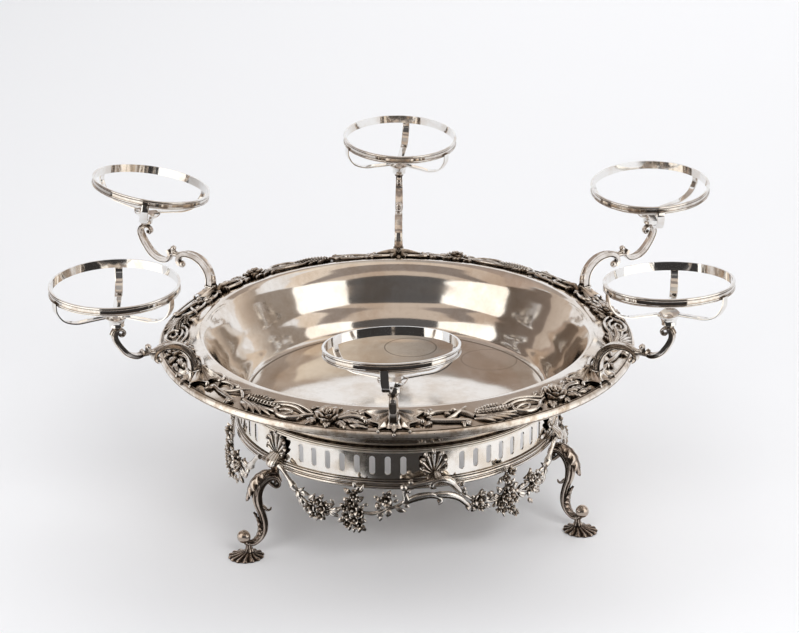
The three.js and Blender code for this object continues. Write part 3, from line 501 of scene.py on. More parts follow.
def grooves(a):
    """Two channels along each flank, at one and at two radians and a bit from the outer side."""
    return np.exp(-((np.abs(a) - 0.95) / 0.2) ** 2) + np.exp(-((np.abs(a) - 2.1) / 0.2) ** 2)


LEG_ROUND = np.linspace(-np.pi, np.pi, LEG_SIDES, endpoint=False)[None, :]


def leg_section(at):
    """An oval with a rounded ridge along each flank between two channels."""
    size = 1 - 0.2 * grooves(LEG_ROUND) + 0 * at
    return np.cos(LEG_ROUND) * size, np.sin(LEG_ROUND) * size


def leg_relief(at):
    """Clear metal everywhere but in the channels, which are painted dark as oxide and shade."""
    return 1 - 0.8 * grooves(LEG_ROUND) + 0 * at


def stem(points, widths, steps=30, flats=10, flatten=0.9):
    """A round stem along a curved line of (u, v, w) points, w being up from the ground it lies on."""
    path = through(points, steps)
    along = np.gradient(path, axis=0)
    side = np.cross(along, (0.0, 0.0, 1.0))
    side /= np.linalg.norm(side, axis=1)[:, None] + 1e-9
    over = np.cross(side, along)
    over /= np.linalg.norm(over, axis=1)[:, None] + 1e-9
    half = np.interp(np.linspace(0, 1, steps), np.linspace(0, 1, len(widths)), widths)[:, None, None] / 2
    a = around(flats)[None, :, None]
    return lofted(path[:, None] + half * (np.cos(a) * side[:, None] + flatten * np.sin(a) * over[:, None]))


def leaf(base, tip, width, bend=0.0, arch=1.2, curl=0.0, teeth=0, cup=0.7, thick=0.9, fine=13, fold=0.22):
    """A cast leaf from a base to a tip, each (u, v, w). Its midline bends aside by 4 bend s(1-s) and rises by
    arch sin(pi s) + curl s^3. Its edges fall by cup t^2 and are cut into teeth, with a fold to each."""
    base, tip = np.asarray(base, float), np.asarray(tip, float)
    s = np.linspace(0, 1, max(fine + 5, 7 * teeth))[:, None]
    t = np.linspace(-1, 1, fine)[None, :]
    run = tip - base
    aside = np.array([-run[1], run[0]]) / (np.hypot(run[0], run[1]) + 1e-9)
    outline = np.sin(np.pi * s ** 0.8) ** 0.75 * (1 - (0.34 * (1 - teeth * s % 1) if teeth else 0))
    reach = bend * 4 * s * (1 - s) + width / 2 * outline * t
    veins = np.exp(-(t / 0.16) ** 2)
    ribs = np.cos(2 * np.pi * (teeth * s - 0.9 * np.abs(t))) * np.abs(t) if teeth else 0 * t
    w = base[2] + run[2] * s + arch * np.sin(np.pi * s) + curl * s ** 3 - cup * t ** 2 - 0.3 * veins + fold * ribs
    u, v = (base[n] + run[n] * s + aside[n] * reach for n in (0, 1))
    top = np.stack([u, v, w], -1)
    under = top - np.array([0, 0, thick])
    clear = 1 - 0.7 * veins - 0.35 * np.abs(t) ** 5 + 0.55 * np.minimum(ribs, 0) + 0 * s
    return lofted(np.concatenate([top, under[:, ::-1]], 1), np.concatenate([clear, 0 * clear + 0.4], 1))


def round_leg(parts):
    """Parts made flat, u along the leg's line, v round it and w above its skin, laid on the leg's outer side."""
    path = through(LEG_LINE, 400)
    run = np.concatenate([[0], np.cumsum(np.linalg.norm(np.diff(path, axis=0), axis=1))])
    along = directions(path)
    share = np.linspace(0, run[-1], len(LEG_SIZES))

    def place(u, v, w):
        x, z, ax, az = (np.interp(u, run, column) for column in (*path.T, *along.T))
        thick = np.interp(u, share, [LEG_THICK / 2 * t for t, _ in LEG_SIZES])
        wide = np.interp(u, share, [LEG_WIDE / 2 * s for _, s in LEG_SIZES])
        turn = v / wide
        lift = (thick + w) * np.cos(turn)
        return x - az * lift, (wide + w) * np.sin(turn), z + ax * lift

    return reshaped(parts, place)


def leg_parts():
    """The bar of the leg, the ball at its toe, the leaves over its knee and up its calf, a thorn and a volute on
    its inner side, and the fluted neck that stands on the pad."""
    bar = upright_sweep(LEG_LINE, [LEG_THICK * t for t, _ in LEG_SIZES], [LEG_WIDE * w for _, w in LEG_SIZES],
                        leg_section, LEG_STEPS, leg_relief)
    leaves = round_leg([
        leaf((7, 0, -0.2), (37, 0, 3.6), 12.5, teeth=6, arch=1.0, curl=1.6, cup=0.4, thick=1.4, fine=25, fold=0.7),
        *(leaf((9, 2.2 * side, -0.2), (33, 5.4 * side, 0.5), 5.5, side, teeth=3, arch=0.9, cup=0.4, thick=1.2)
          for side in (1, -1)),
        leaf((86, 0, 0.1), (47, 0, 1.6), 8.5, teeth=7, arch=0.8, curl=1.6, cup=0.5, thick=1.3, fine=21, fold=0.6),
        *(leaf((84, 2.6 * side, 0), (60, 3.6 * side, 0.5), 3.6, 0.5 * side, teeth=4, arch=0.6, thick=1.0)
          for side in (1, -1))])
    thorn = upright_sweep([(155.6, 47), (152.6, 44.4), (150.4, 42.2), (148.2, 42.6), (147.4, 44.6)],
                          [3.2, 3.4, 2.6, 1.8, 1.2], [5.5, 5, 4, 3, 1.6], leg_section, 20, leg_relief)
    volute = upright_sweep([(149.5, 69.5), (146.5, 66.2), (143.2, 63.6), (140.6, 64.2), (139.8, 66.6),
                            (141.2, 68.6), (143.2, 68.2), (143.6, 66.6)],
                           [3.6, 3.4, 3, 2.6, 2.2], [7, 6.6, 6.2, 5.8, 5.4], leg_section, 40, leg_relief)
    neck = np.array([(3.6, 14.6), (2.9, 12.2), (2.8, 10), (3.2, 7.8), (4.1, 5.95)])
    a = around(32)
    flute = 1 + 0.07 * np.cos(8 * a) * np.array([[0], [0.3], [0.6], [0.9], [1]])
    neck = lofted(np.stack([ANKLE + neck[:, :1] * flute * np.cos(a), neck[:, :1] * flute * np.sin(a),
                            neck[:, 1:] + 0 * a], -1), 0.6 + 0.4 * np.cos(8 * a) + 0 * neck[:, :1])
    return [bar, ball(5.8, (171.6, 0, 19.6), 24), *leaves, thorn, volute, neck]


def straight_bar(ends, y, z):
    """A bar along X between two ends, its section given by the y and z of its corners."""
    across = np.zeros((2, 1))
    return lofted(np.stack([np.array(ends)[:, None] + 0 * y, y + across, z + across], -1))


def leg_mount():
    """The tab against the bottom moulding and the stud through the band."""
    a = around(20)
    x, z = CORNERS.T
    return [straight_bar((135.0, 145.5), STUD_RADIUS * np.cos(a), STUD_HEIGHT + STUD_RADIUS * np.sin(a)),
            straight_bar((142.2, 144.6), TAB_HALF_WIDTH * x, TAB_HEIGHT + TAB_HALF_HEIGHT * z)]


for k in range(3):
    parts = turned(leg_parts(), LEG_ANGLES[k], LEG_FIXING[k][1]) + turned(leg_mount(), LEG_ANGLES[k])
    leg = metal_body(f"cabriole_leg_{k + 1}", parts, leg_silver)
    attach(leg, "base")
    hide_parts(f"leg_{k + 1}")

# Foot pads
# Cast oval shells with radiating flutes and a scalloped edge. Each carries the neck of its leg and has a
# flat underside.

PAD_LONG, PAD_WIDE, FLUTES = 15.2, 13.2, 14


def columns(rows):
    """The columns of a table of numbers, each as an upright array."""
    return (column[:, None] for column in np.asarray(rows, float).T)


def pad():
    """Ovals from the hub to the edge: r = share (1 + wave), the flutes and the scallops both a cosine of the
    angle times the number of flutes."""
    a = around(12 * FLUTES)[None, :]
    flute = np.cos(FLUTES * a)
    share, z, depth = columns([(0.2, 5.5, 0), (0.3, 5.3, 0.3), (0.42, 4.3, 0.7), (0.58, 3.2, 1), (0.76, 2.5, 1),
                               (0.9, 2.2, 1), (0.97, 1.7, 0.9), (1.0, 1.0, 0.8), (0.97, 0.2, 0.8), (0.93, 0, 0.8),
                               (0.3, 0, 0)])
    reach = share * (1 + 0.035 * depth * flute * (share > 0.8))
    height = z + 0.5 * depth * flute * (z > 1.2)
    middle = ANKLE + 2.6 * np.clip((share - 0.2) / 0.5, 0, 1)
    rows = np.stack([middle + PAD_LONG * reach * np.cos(a), PAD_WIDE * reach * np.sin(a), height], -1)
    relief = np.where(z > 1.2, 0.55 + 0.45 * flute * np.minimum(1, depth * 2), 0.7) + 0 * a
    return [lofted(rows, relief)]


for k in range(3):
    foot = metal_body(f"fluted_pad_{k + 1}", turned(pad(), LEG_ANGLES[k], LEG_FIXING[k][1]), leg_silver)
    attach(foot, "base")
    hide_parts(f"foot_shell_{k + 1}")

# Leg nuts
# Six-sided nuts with chamfered corners, one on each stud inside the band, where they draw the legs' tabs
# against the bottom moulding.

NUT_PROFILE = [(135.1, 2.2, 0), (135.1, 3.3, 0), (135.5, 3.6, 1), (137.1, 3.6, 1), (137.5, 3.3, 0),
               (137.5, 2.2, 0)]


def six_sided_nut():
    """Loops of (x, size, whether six-sided): a side stands at 1 / cos of the angle from the middle of its flat."""
    a = around(36)[None, :]
    six = 1 / np.cos((a + np.pi / 6) % (np.pi / 3) - np.pi / 6)
    x, size, flat = columns(NUT_PROFILE)
    size = size * np.where(flat > 0, np.minimum(six, 1.13), 1)
    return patch(np.stack([x + 0 * a, size * np.cos(a), STUD_HEIGHT + size * np.sin(a)], -1), True, True)


for k in range(3):
    nut = metal_body(f"six_sided_nut_{k + 1}", turned([six_sided_nut()], LEG_ANGLES[k]), cast_silver)
    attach(nut, "base")
    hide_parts(f"leg_nut_{k + 1}")

# Festoons
# One cast openwork garland to each bay: smooth stalks from the legs, leaves, buds and small flowers, two
# pendant bunches, and a pierced bracket of scrolls under the middle shell.


def bloom(centre, radius, petals=5, rise=1.8, turn=0.0, heart=0.3):
    """A flower on the ground (u, v, w): cupped petals of |cos(petals a / 2)| round a domed heart."""
    a = around(8 * petals)[None, :]
    p = np.array([0.06, 0.16, 0.24, 0.3, 0.34, 0.46, 0.64, 0.82, 0.94, 1.0, 0.9, 0.3])[:, None]
    c = np.abs(np.cos(petals * (a - turn) / 2)) ** 0.5
    r = radius * p * (1 - 0.24 * (1 - c) * p ** 2)
    q = np.clip((p - heart) / (1 - heart), 0, 1)
    dome = 0.95 * np.sqrt(np.clip(1 - (p / heart) ** 2, 0, 1))
    w = rise * np.where(p < heart, 0.25 + dome, 0.1 + (0.25 + 0.75 * c) * q * (1.25 - 0.35 * q ** 4))
    w[-2:] = -0.7
    relief = np.where(p < heart, 1 - 0.6 * (p / heart) ** 6, 0.4 + 0.7 * c * np.minimum(1, 2.5 * q + 0.2))
    relief[-2:] = 0.2
    return lofted(np.stack([centre[0] + r * np.cos(a), centre[1] + r * np.sin(a), centre[2] + w], -1), relief)


def seed(centre, toward, length, width):
    """A pointed bead, such as a grain or a bud: its radius is width/2 sin(pi s)^0.7 (1 - 0.35 s)."""
    centre, toward = np.asarray(centre, float), np.asarray(toward, float)
    toward = toward / np.linalg.norm(toward)
    side = np.cross(toward, (0.02, 0.01, 1.0))
    side /= np.linalg.norm(side)
    over = np.cross(side, toward)
    s = np.linspace(0.05, 0.97, 8)[:, None, None]
    a = around(8)[None, :, None]
    r = width / 2 * np.sin(np.pi * s) ** 0.7 * (1 - 0.35 * s)
    return lofted(centre + toward * (s - 0.5) * length + r * (np.cos(a) * side + np.sin(a) * over))


FESTOON_RADIUS = 146.7
ROUND = np.radians(1) * FESTOON_RADIUS
# How full the casting is for the sizes in the tables below, as shares of them.
BLOOM_FULL, SEPAL_REACH, SEPAL_FULL, BUD_LONG, BUD_WIDE = 1.16, 1.75, 1.15, 1.8, 1.3
LEAF_FULL, STALK_FULL, BRACKET_FULL, BLOOM_RISE = 1.4, 1.45, 2.0, 3.1


def on_gallery(parts, angle):
    """Parts made flat, u round the gallery, v the height and w outwards, bent round the garlands' drum."""
    def place(u, v, w):
        a, r = np.radians(angle) + u / FESTOON_RADIUS, FESTOON_RADIUS + w
        return r * np.sin(a), -r * np.cos(a), v

    return reshaped(parts, place)


def spots(rows, per_degree):
    """Rows of (degrees, across, up) with the degrees turned into millimetres."""
    return [(row[0] * per_degree, *row[1:]) for row in rows]


def garland(side, flowers, buds, leaves, stems):
    """The pieces of one half, each placed by its degrees from the bay's middle and its height. Flowers are
    (degrees, height, size), buds (degrees, height, size, lean), leaves (from degrees, height, to degrees,
    height, width, bend), and stems (points of degrees, height and outward millimetres, widths)."""
    parts = []
    for n, (angle, z, size) in enumerate(flowers):
        u, w, behind = side * angle * ROUND, 0.9 + 0.7 * (n % 3), 1.1 + 2.1 * n
        parts.append(bloom((u, z, w), BLOOM_FULL * size, 5 + n % 2, BLOOM_RISE, n * 0.7))
        for way in (behind, behind + 2.0, behind + 4.1):
            tip = u + SEPAL_REACH * size * np.cos(way), z + SEPAL_REACH * size * np.sin(way), 0.2
            parts.append(leaf((u, z, -0.2), tip, SEPAL_FULL * size, arch=1.4, thick=1.2, fine=7))
    for n, (angle, z, size, lean) in enumerate(buds):
        way = np.radians(lean)
        parts.append(seed((side * angle * ROUND, z, 1.2 + 0.6 * (n % 2)), (side * np.cos(way), np.sin(way), 0.25),
                          size * BUD_LONG, size * BUD_WIDE))
    for angle, z, to_angle, to_z, width, bend in leaves:
        parts.append(leaf((side * angle * ROUND, z, 0.4), (side * to_angle * ROUND, to_z, 1.2), LEAF_FULL * width,
                          side * bend, teeth=3 if width > 4 else 0, arch=1.6, thick=1.5))
    for rows, widths in stems:
        line = spots([(side * a, z, w) for a, z, w in rows], ROUND)
        parts.append(stem(line, [STALK_FULL * width for width in widths]))
    return parts


STALK = ([(55.2, 87, 0.4), (53.6, 85, 0.3), (51.6, 80, 0.2), (50, 75.5, 0), (48.9, 72, 0), (47.6, 69.8, 0)],
         [3.2, 2.8, 2.6, 3, 5.2, 3.4])
RUNNER = ([(48, 70, -0.6), (44.5, 62, -0.6), (40, 57, -0.6), (34, 59, -0.6), (29, 63, -0.6), (24, 60, -0.6),
           (20, 60.5, -0.6), (16, 64, -0.6), (12, 68, -0.6), (9.6, 73, -0.6)],
          [2.2, 2.4, 2.2, 2, 2.4, 2.4, 2, 1.8, 1.8, 2])
DROP = ([(27, 80, -0.6), (26.6, 70, -0.6), (26.8, 60, -0.6), (26.6, 48, -0.6)], [2.2, 2.6, 2.8, 2])
LEFT = garland(
    -1,
    [(42.2, 58.5, 4.4), (38.9, 66, 3.6), (37.7, 60.6, 3.7), (40.9, 53.4, 3.4), (38.2, 53.6, 3.5), (27, 63, 4.5),
     (24.9, 60.4, 3.5), (28.9, 57.4, 3.5), (26.4, 54.6, 3.5), (25.2, 49.6, 3.5), (28.7, 50.2, 3.0),
     (26.5, 76.5, 3.3), (27.8, 69.5, 3.5), (16.2, 73.6, 5.0), (29.6, 65, 2.8)],
    [(36.3, 55, 3.0, 20), (39.6, 49.8, 3.0, -80), (43.4, 54, 2.8, -120), (35.6, 63.6, 3, 10),
     (34, 67.6, 3.2, 60), (26.4, 86, 3.4, 80), (25.4, 82.6, 3, 100), (28.6, 79.8, 3, 120),
     (29.4, 71.6, 3.6, 160), (24.2, 66, 3, 10), (28.2, 45.6, 3.2, -80), (24.8, 45, 3.4, -80),
     (22.8, 68.2, 3, 10), (18, 56.8, 3, -80), (26.7, 44, 2.8, -90), (13.4, 77.8, 2.6, 20), (13, 72.6, 2.8, -20),
     (19.4, 76.4, 2.6, 160), (17, 79.4, 2.4, 100)],
    [(47.4, 70.5, 44.6, 74.4, 2.2, 0.8), (47.4, 70, 45.6, 62, 3.6, 1), (46.6, 68, 42.6, 68.5, 3.4, -1),
     (46, 66, 44.4, 56, 3.4, 1.4), (44.4, 57, 41.4, 49.4, 3.6, -1), (43, 64, 40.6, 71, 3.6, 1),
     (36, 59, 30.6, 62.6, 4.4, 1.2), (36, 57.6, 32, 53.8, 3.8, -1), (37, 62, 33.4, 64.8, 3.4, 0.6),
     (25.4, 78, 23.4, 86.6, 2.6, 0.8), (28, 76, 30.2, 80.6, 3, 1), (25.6, 70, 23.4, 74.6, 3.4, -0.6),
     (29.4, 61, 31.6, 66.4, 3.6, 1), (29.6, 53, 32.4, 49.4, 3, 0.6), (25, 55, 22.6, 52.4, 3.2, 0.6),
     (24.6, 48, 22.8, 43.8, 3, -0.4), (19.6, 69.6, 17.6, 64.8, 4.2, 0.6), (17.4, 62.6, 18.4, 54.8, 3.8, 0.8),
     (15.4, 65, 15.8, 57.6, 3.8, -0.6), (13.4, 67, 9.6, 62.4, 3, 0.4), (11.6, 70, 7.6, 74.6, 2.4, 0.4),
     (10.6, 71, 8.4, 66.4, 2.6, 0.6), (10, 73, 9.8, 79.6, 2.4, 0.4)],
    [STALK, RUNNER, DROP,
     ([(24, 61, 0.2), (21.2, 59.6, 0.6), (18, 61.6, 0.6), (15, 66, 0.3)], [1.6, 1.5, 1.4, 1.2])])
RIGHT = garland(
    1,
    [(15.3, 66, 5.0), (15.5, 59.4, 3.2), (27.6, 83.6, 2.9), (25.6, 78.4, 3.1), (27.2, 68.4, 3.7),
     (24.9, 61.6, 3.6), (27.8, 62, 3.6), (23.2, 56.8, 3.2), (26.4, 56, 3.2), (29.3, 57, 3.2), (24.2, 51, 3.2),
     (27.3, 50.4, 3.2), (29.6, 43.6, 2.8), (37.2, 70.6, 3.7), (38.8, 65.4, 3.4), (38, 59.4, 3.6),
     (41.2, 66.4, 3.2)],
    [(13, 69.4, 3, 140), (16.9, 70.4, 3, 60), (17.9, 65.2, 3, 0), (12.6, 63.4, 2.8, 200), (9, 83.4, 3.2, 70),
     (9.6, 78.8, 3, 100), (10.2, 74.4, 2.8, 80), (25.6, 85.8, 2.8, 100), (29.6, 82.8, 2.8, 60),
     (26.6, 74.6, 3, 90), (28.8, 73.6, 3, 60), (30.2, 63.4, 3, 10), (30.4, 52.6, 2.9, -20),
     (22.6, 50, 2.9, 200), (25, 45.4, 3, -90), (27.6, 45.6, 3, -80), (36.4, 55, 3.2, -100),
     (36.6, 48.6, 3, -90), (38, 46.6, 2.9, -80), (40.6, 71.8, 2.8, 60), (42.6, 61.6, 3, 0)],
    [(13.6, 61, 12.4, 55.6, 3.4, 0.8), (17, 59, 19.4, 55.4, 3.2, 0.6), (18.6, 66, 20.8, 69.2, 3.6, 0.6),
     (19, 62, 23.4, 64.2, 4.2, 1), (24.6, 66, 22.4, 72, 3.8, 0.8), (28.8, 66.6, 31.4, 69.6, 3.2, 0.6),
     (31.4, 62, 35.6, 64.4, 4.4, 1.2), (32, 58.6, 35.6, 55.4, 3.8, -0.8), (22.6, 60, 20.4, 55, 3, 0.6),
     (39, 57, 43, 49.8, 5.2, 1), (36.6, 64, 34.8, 68.4, 3.4, 0.6), (42, 64, 45.8, 60, 3.6, 0.6),
     (40.6, 60, 44.4, 57, 3.4, 0.6), (47.4, 70, 45.6, 62, 3.6, 1), (46.6, 68, 42.6, 69.5, 3.4, -1),
     (47.4, 70.5, 44.6, 75.4, 2.4, 0.8), (46, 66, 44.4, 56, 3.4, 1.4), (29, 46, 31.6, 41.6, 2.8, 0.4),
     (24, 79, 22.4, 74.6, 2.8, 0.4), (29.4, 55, 32, 51.6, 3, 0.6)],
    [STALK, RUNNER, DROP])
BRACKET = [stem(spots(rows, ROUND), [BRACKET_FULL * width for width in widths], 44, 14, 0.85) for rows, widths in (
    ([(-9.6, 86, 0.6), (-8, 85.6, 1), (-6, 87.2, 1.4), (-3.4, 88.4, 1.4), (-0.6, 89.6, 0.6)],
     [3.4, 2.6, 2.8, 3, 2.8]),
    ([(-0.2, 85.2, 1.6), (-1.2, 84.6, 1.6), (-1.2, 87.2, 1.8), (0.6, 89.6, 1.6), (2.8, 89.4, 1.2), (5, 86.6, 0.6),
      (7, 80.8, 0.2), (8.8, 75.6, 0)], [2.8, 2.4, 2.6, 3.4, 3.6, 3.2, 2.8, 2.2]),
    ([(-9.6, 70.8, 0), (-7.4, 74, 0.4), (-4.4, 76.2, 0.8), (-1.2, 76.4, 1), (0.9, 74, 1.2), (1.6, 70.4, 1.4),
      (0.6, 69.4, 1.4)], [2.2, 3, 3.4, 3, 2.6, 2, 2.4]),
    ([(-1.6, 76.2, 0.6), (2, 76, 0.8), (5, 74.6, 0.8), (7.8, 71, 0.6), (9.9, 66, 0.3), (11.6, 60.6, 0),
      (10.8, 59.2, 0.2)], [2, 3, 3.2, 3, 2.6, 2.2, 2.6]),
    ([(-9.4, 84.6, 0), (-10, 80, 0), (-9.6, 73.4, 0)], [3, 2.2, 3.2]),
    ([(-6.8, 86, 0.6), (-8, 89.4, 0.8), (-7.8, 92, 0.6)], [2.2, 1.8, 0.8]))]
BRACKET += [ball(3.1, (-10.4 * ROUND, 85.4, 2.2), 14), ball(2.3, (-8.2 * ROUND, 89.6, 2.0), 12),
            seed((-8.8 * ROUND, 82, 1.8), (0.4, -1, 0.2), 6, 4.6),
            seed((9.4 * ROUND, 76.6, 1.2), (0.4, 1, 0.2), 6, 4.4)]

for k in range(3):
    festoon = metal_body(f"garland_{k + 1}", on_gallery(LEFT + RIGHT + BRACKET, MIDDLES[k]), cast_silver)
    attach(festoon, "base")
    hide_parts(f"festoon_{k + 1}")

# Borders
# Six cast strips soldered on the brim, one between each two sockets: branches, feathery leaves, ears of corn,
# loops of stems and an open rose. The ground between them is painted dark, as oxide and shade.

BRIM_RADIUS = 190
ROUND_BRIM = np.radians(1) * BRIM_RADIUS
# The brim's face: its height and its distance from the axis where it starts, and its fall over its breadth.
BRIM_HIGH, BRIM_START, BRIM_FALL, BRIM_BREADTH, CAST_FULL = 168, 168, 7.5, 35, 1.2


def on_brim(parts, angle):
    """Parts made flat, u round the brim, v from the axis and w above the brim's face, bent round the brim."""
    def place(u, v, w):
        a = np.radians(angle) + u / BRIM_RADIUS
        ground = BRIM_HIGH - BRIM_FALL * (v - BRIM_START) / BRIM_BREADTH
        return v * np.sin(a), -v * np.cos(a), ground + CAST_FULL * w

    return reshaped(parts, place)


def ear(start, end, bow, grains, size):
    """An ear of corn: a stem with three rows of grains that lean out from it and stand up."""
    middle = [(a + b) / 2 + rise for a, b, rise in zip(start, end, (0, bow, 0.6))]
    line = through(spots([start, middle, end], ROUND_BRIM), grains)
    parts = [stem(line[[0, grains // 2, -1]], [1.4, 2, 1.2], 16, 8)]
    along = np.gradient(line, axis=0)
    for n, (place, way) in enumerate(zip(line, along)):
        way = way / np.linalg.norm(way)
        across = np.array([-way[1], way[0], 0])
        shrink = size * (1 - 0.35 * n / grains)
        for row in (-1, 0, 1):
            toward = way + 0.75 * row * across + np.array([0, 0, 0.5 + 0.35 * (row == 0)])
            centre = place + row * 0.36 * shrink * across + np.array([0, 0, 0.8 + 0.5 * (row == 0)])
            parts.append(seed(centre, toward, shrink * 1.3, shrink * 0.62))
    return parts


def border():
    """One strip, laid out in degrees from the socket on its left and in millimetres from the axis. Stems are
    (points, widths) and leaves (base, tip, width, bend, teeth)."""
    stems = [([(8.8, 191.6, 1.2), (12, 194, 1.6), (15.4, 195.6, 1.6), (18, 198.6, 2), (17.4, 200.6, 1.6)],
              [3.2, 3, 3.4, 3, 2.4]),
             ([(8.6, 184, 1.4), (10.4, 181.6, 1.4), (13.4, 181.4, 1.2), (16.4, 183.6, 1.6), (18.4, 188, 1.8),
               (19.6, 192.4, 1.6)], [2, 2.6, 2.6, 2.8, 3, 2.6]),
             ([(12.8, 192, 1.2), (15, 188.4, 2), (17.2, 183.6, 2.6), (18.8, 179.6, 2)], [2.4, 2.6, 2.4, 1.4]),
             ([(20, 192.5, 1.4), (24, 194.6, 1.4), (28, 195, 1.4), (31, 196.4, 1.6)], [2.4, 2.2, 2.2, 2.4]),
             ([(28, 184.6, 1.4), (31, 182, 1.8), (34.4, 181.8, 1.8), (37.4, 184.6, 1.6), (39.6, 188.6, 1.4)],
              [2.2, 2.8, 2.8, 2.6, 2.2]),
             ([(30.4, 189, 1.6), (30, 193.6, 2), (31.4, 198.2, 2), (34, 200, 1.8), (36.6, 197.4, 1.8),
               (38.2, 193, 1.6), (40, 190.4, 1.4)], [2.4, 2.8, 3, 3, 3, 2.6, 2.2]),
             ([(29.4, 187.6, 1.6), (32, 185.6, 2.2), (35, 186.6, 2.2), (37, 190, 1.8), (38.6, 192, 1.4)],
              [2, 2.4, 2.4, 2.2, 2]),
             ([(31, 192, 1.2), (33, 190.4, 1.8), (34.6, 192.6, 2), (33.8, 195.8, 1.8), (32.2, 196, 1.4)],
              [1.8, 2.2, 2.2, 2, 1.6]),
             ([(46.4, 191.4, 1.4), (48.8, 188.4, 2), (51.4, 188.4, 1.8), (53, 190.6, 1.4)], [2.8, 3.4, 3.6, 2.6]),
             ([(46.6, 187, 1.2), (49, 183.4, 1.8), (51.2, 184.4, 1.6), (51.2, 187, 1.4)], [2, 2.4, 2.2, 1.8])]
    leaves = [((8.4, 184.4, 0.8), (9.6, 190.6, 1.6), 5.5, 1.4, 2),
              ((10.6, 182, 0.8), (7.4, 178.8, 1.6), 4.4, 1, 2), ((9, 192, 0.8), (7.2, 198.2, 1.4), 4.6, -1, 2),
              ((12.6, 182, 1), (14.2, 186.4, 1.6), 3.6, 0.6, 0),
              ((17.2, 196.4, 1), (16.2, 203, 1.4), 5, 0.8, 2),
              ((19.4, 190.6, 1), (24.6, 179, 1.8), 4.6, 1.4, 6),
              ((20, 191.6, 1), (27.4, 180.4, 1.6), 4.8, 1.6, 6),
              ((20.6, 192, 1), (30, 183.2, 1.6), 4.6, 1.8, 5), ((19.4, 194, 1), (24, 203.6, 1.6), 5.2, -1.8, 0),
              ((20, 193.6, 1), (26, 203.6, 1.8), 5.2, -2.2, 0),
              ((20.8, 193.2, 1), (28, 203.2, 1.8), 5, -2.4, 0), ((22, 193.6, 1), (30, 201, 1.6), 4.4, -1.8, 0),
              ((39.4, 186.6, 1), (43.6, 177.8, 2.4), 5.6, 1.2, 4),
              ((41, 184.6, 1.4), (46.6, 178.2, 2.4), 6, 1, 4), ((38.6, 190, 1), (36.8, 200.6, 1.4), 4.6, 1, 3),
              ((41.4, 195, 1.4), (39.4, 203.6, 1.6), 8.4, 0.6, 3),
              ((44.4, 197.4, 1.4), (44.4, 204.4, 1.6), 6.4, 0, 3),
              ((46, 195.4, 1.4), (49, 203.2, 1.6), 7.4, -0.8, 4),
              ((46.6, 186.4, 1.4), (50.6, 178.8, 1.8), 6, 1, 4),
              ((47.4, 191.6, 1.2), (53, 195.6, 1.6), 6, 0.8, 4),
              ((49.4, 198, 1), (54, 200.6, 1.4), 4.6, 0.6, 2),
              ((38, 183.4, 1), (40.4, 179.4, 1.6), 3.6, 0.4, 2)]
    parts = [stem(spots(rows, ROUND_BRIM), widths, 34, 10) for rows, widths in stems]
    parts += [leaf(*spots([base, tip], ROUND_BRIM), width, bend, 1.4, teeth=teeth, thick=1.6)
              for base, tip, width, bend, teeth in leaves]
    parts += ear((21, 189.6, 1.6), (30, 189.8, 2), 1.6, 11, 3.6)
    parts += ear((20.6, 187.6, 1.4), (26.6, 184.4, 1.8), -0.4, 8, 3.0)
    rose = np.array(spots([(43.6, 190.8, 0)], ROUND_BRIM)[0])
    parts += [bloom(rose + (0, 0, height), radius, 5, rise, turn, heart) for height, radius, rise, turn, heart in (
        (1.0, 9.8, 3.6, 0.4, 0.3), (2.4, 6.8, 3.6, 1.05, 0.3), (3.6, 3.9, 2.9, 0.3, 0.36))]
    parts += [seed(spots([place], ROUND_BRIM)[0], toward, 6, 4) for place, toward in (
        ((17.2, 200.8, 1.8), (0.2, 1, 0)), ((52.6, 189.6, 2), (1, 0.4, 0)), ((15, 183, 2.4), (1, 0.2, 0.2)))]
    return parts


STRIP = border()
for k in range(6):
    strip = metal_body(f"flower_border_{k + 1}", on_brim(STRIP, 60 * k), cast_silver)
    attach(strip, "base")
    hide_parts(f"border_{k + 1}")

# Leaf sockets
# Six castings on the brim: a webbed leaf of five ribs with beaded tips, a curl at each side, and a square
# collar that holds the peg of an arm.

SOCKET, COLLAR_LOW, COLLAR_TOP, COLLAR_BORE, LEAF_ROOT = 195.0, 163.0, 170.41, 5.7, 187.0
BRIM_BEND = 202.5  # past this distance from the axis the leaf's tips hang over the brim's edge
TIPS = [(-27.5, 181.5), (-22.5, 194.5), (-12, 205), (0, 207.5), (12, 205), (22.5, 194.5), (27.5, 181.5)]


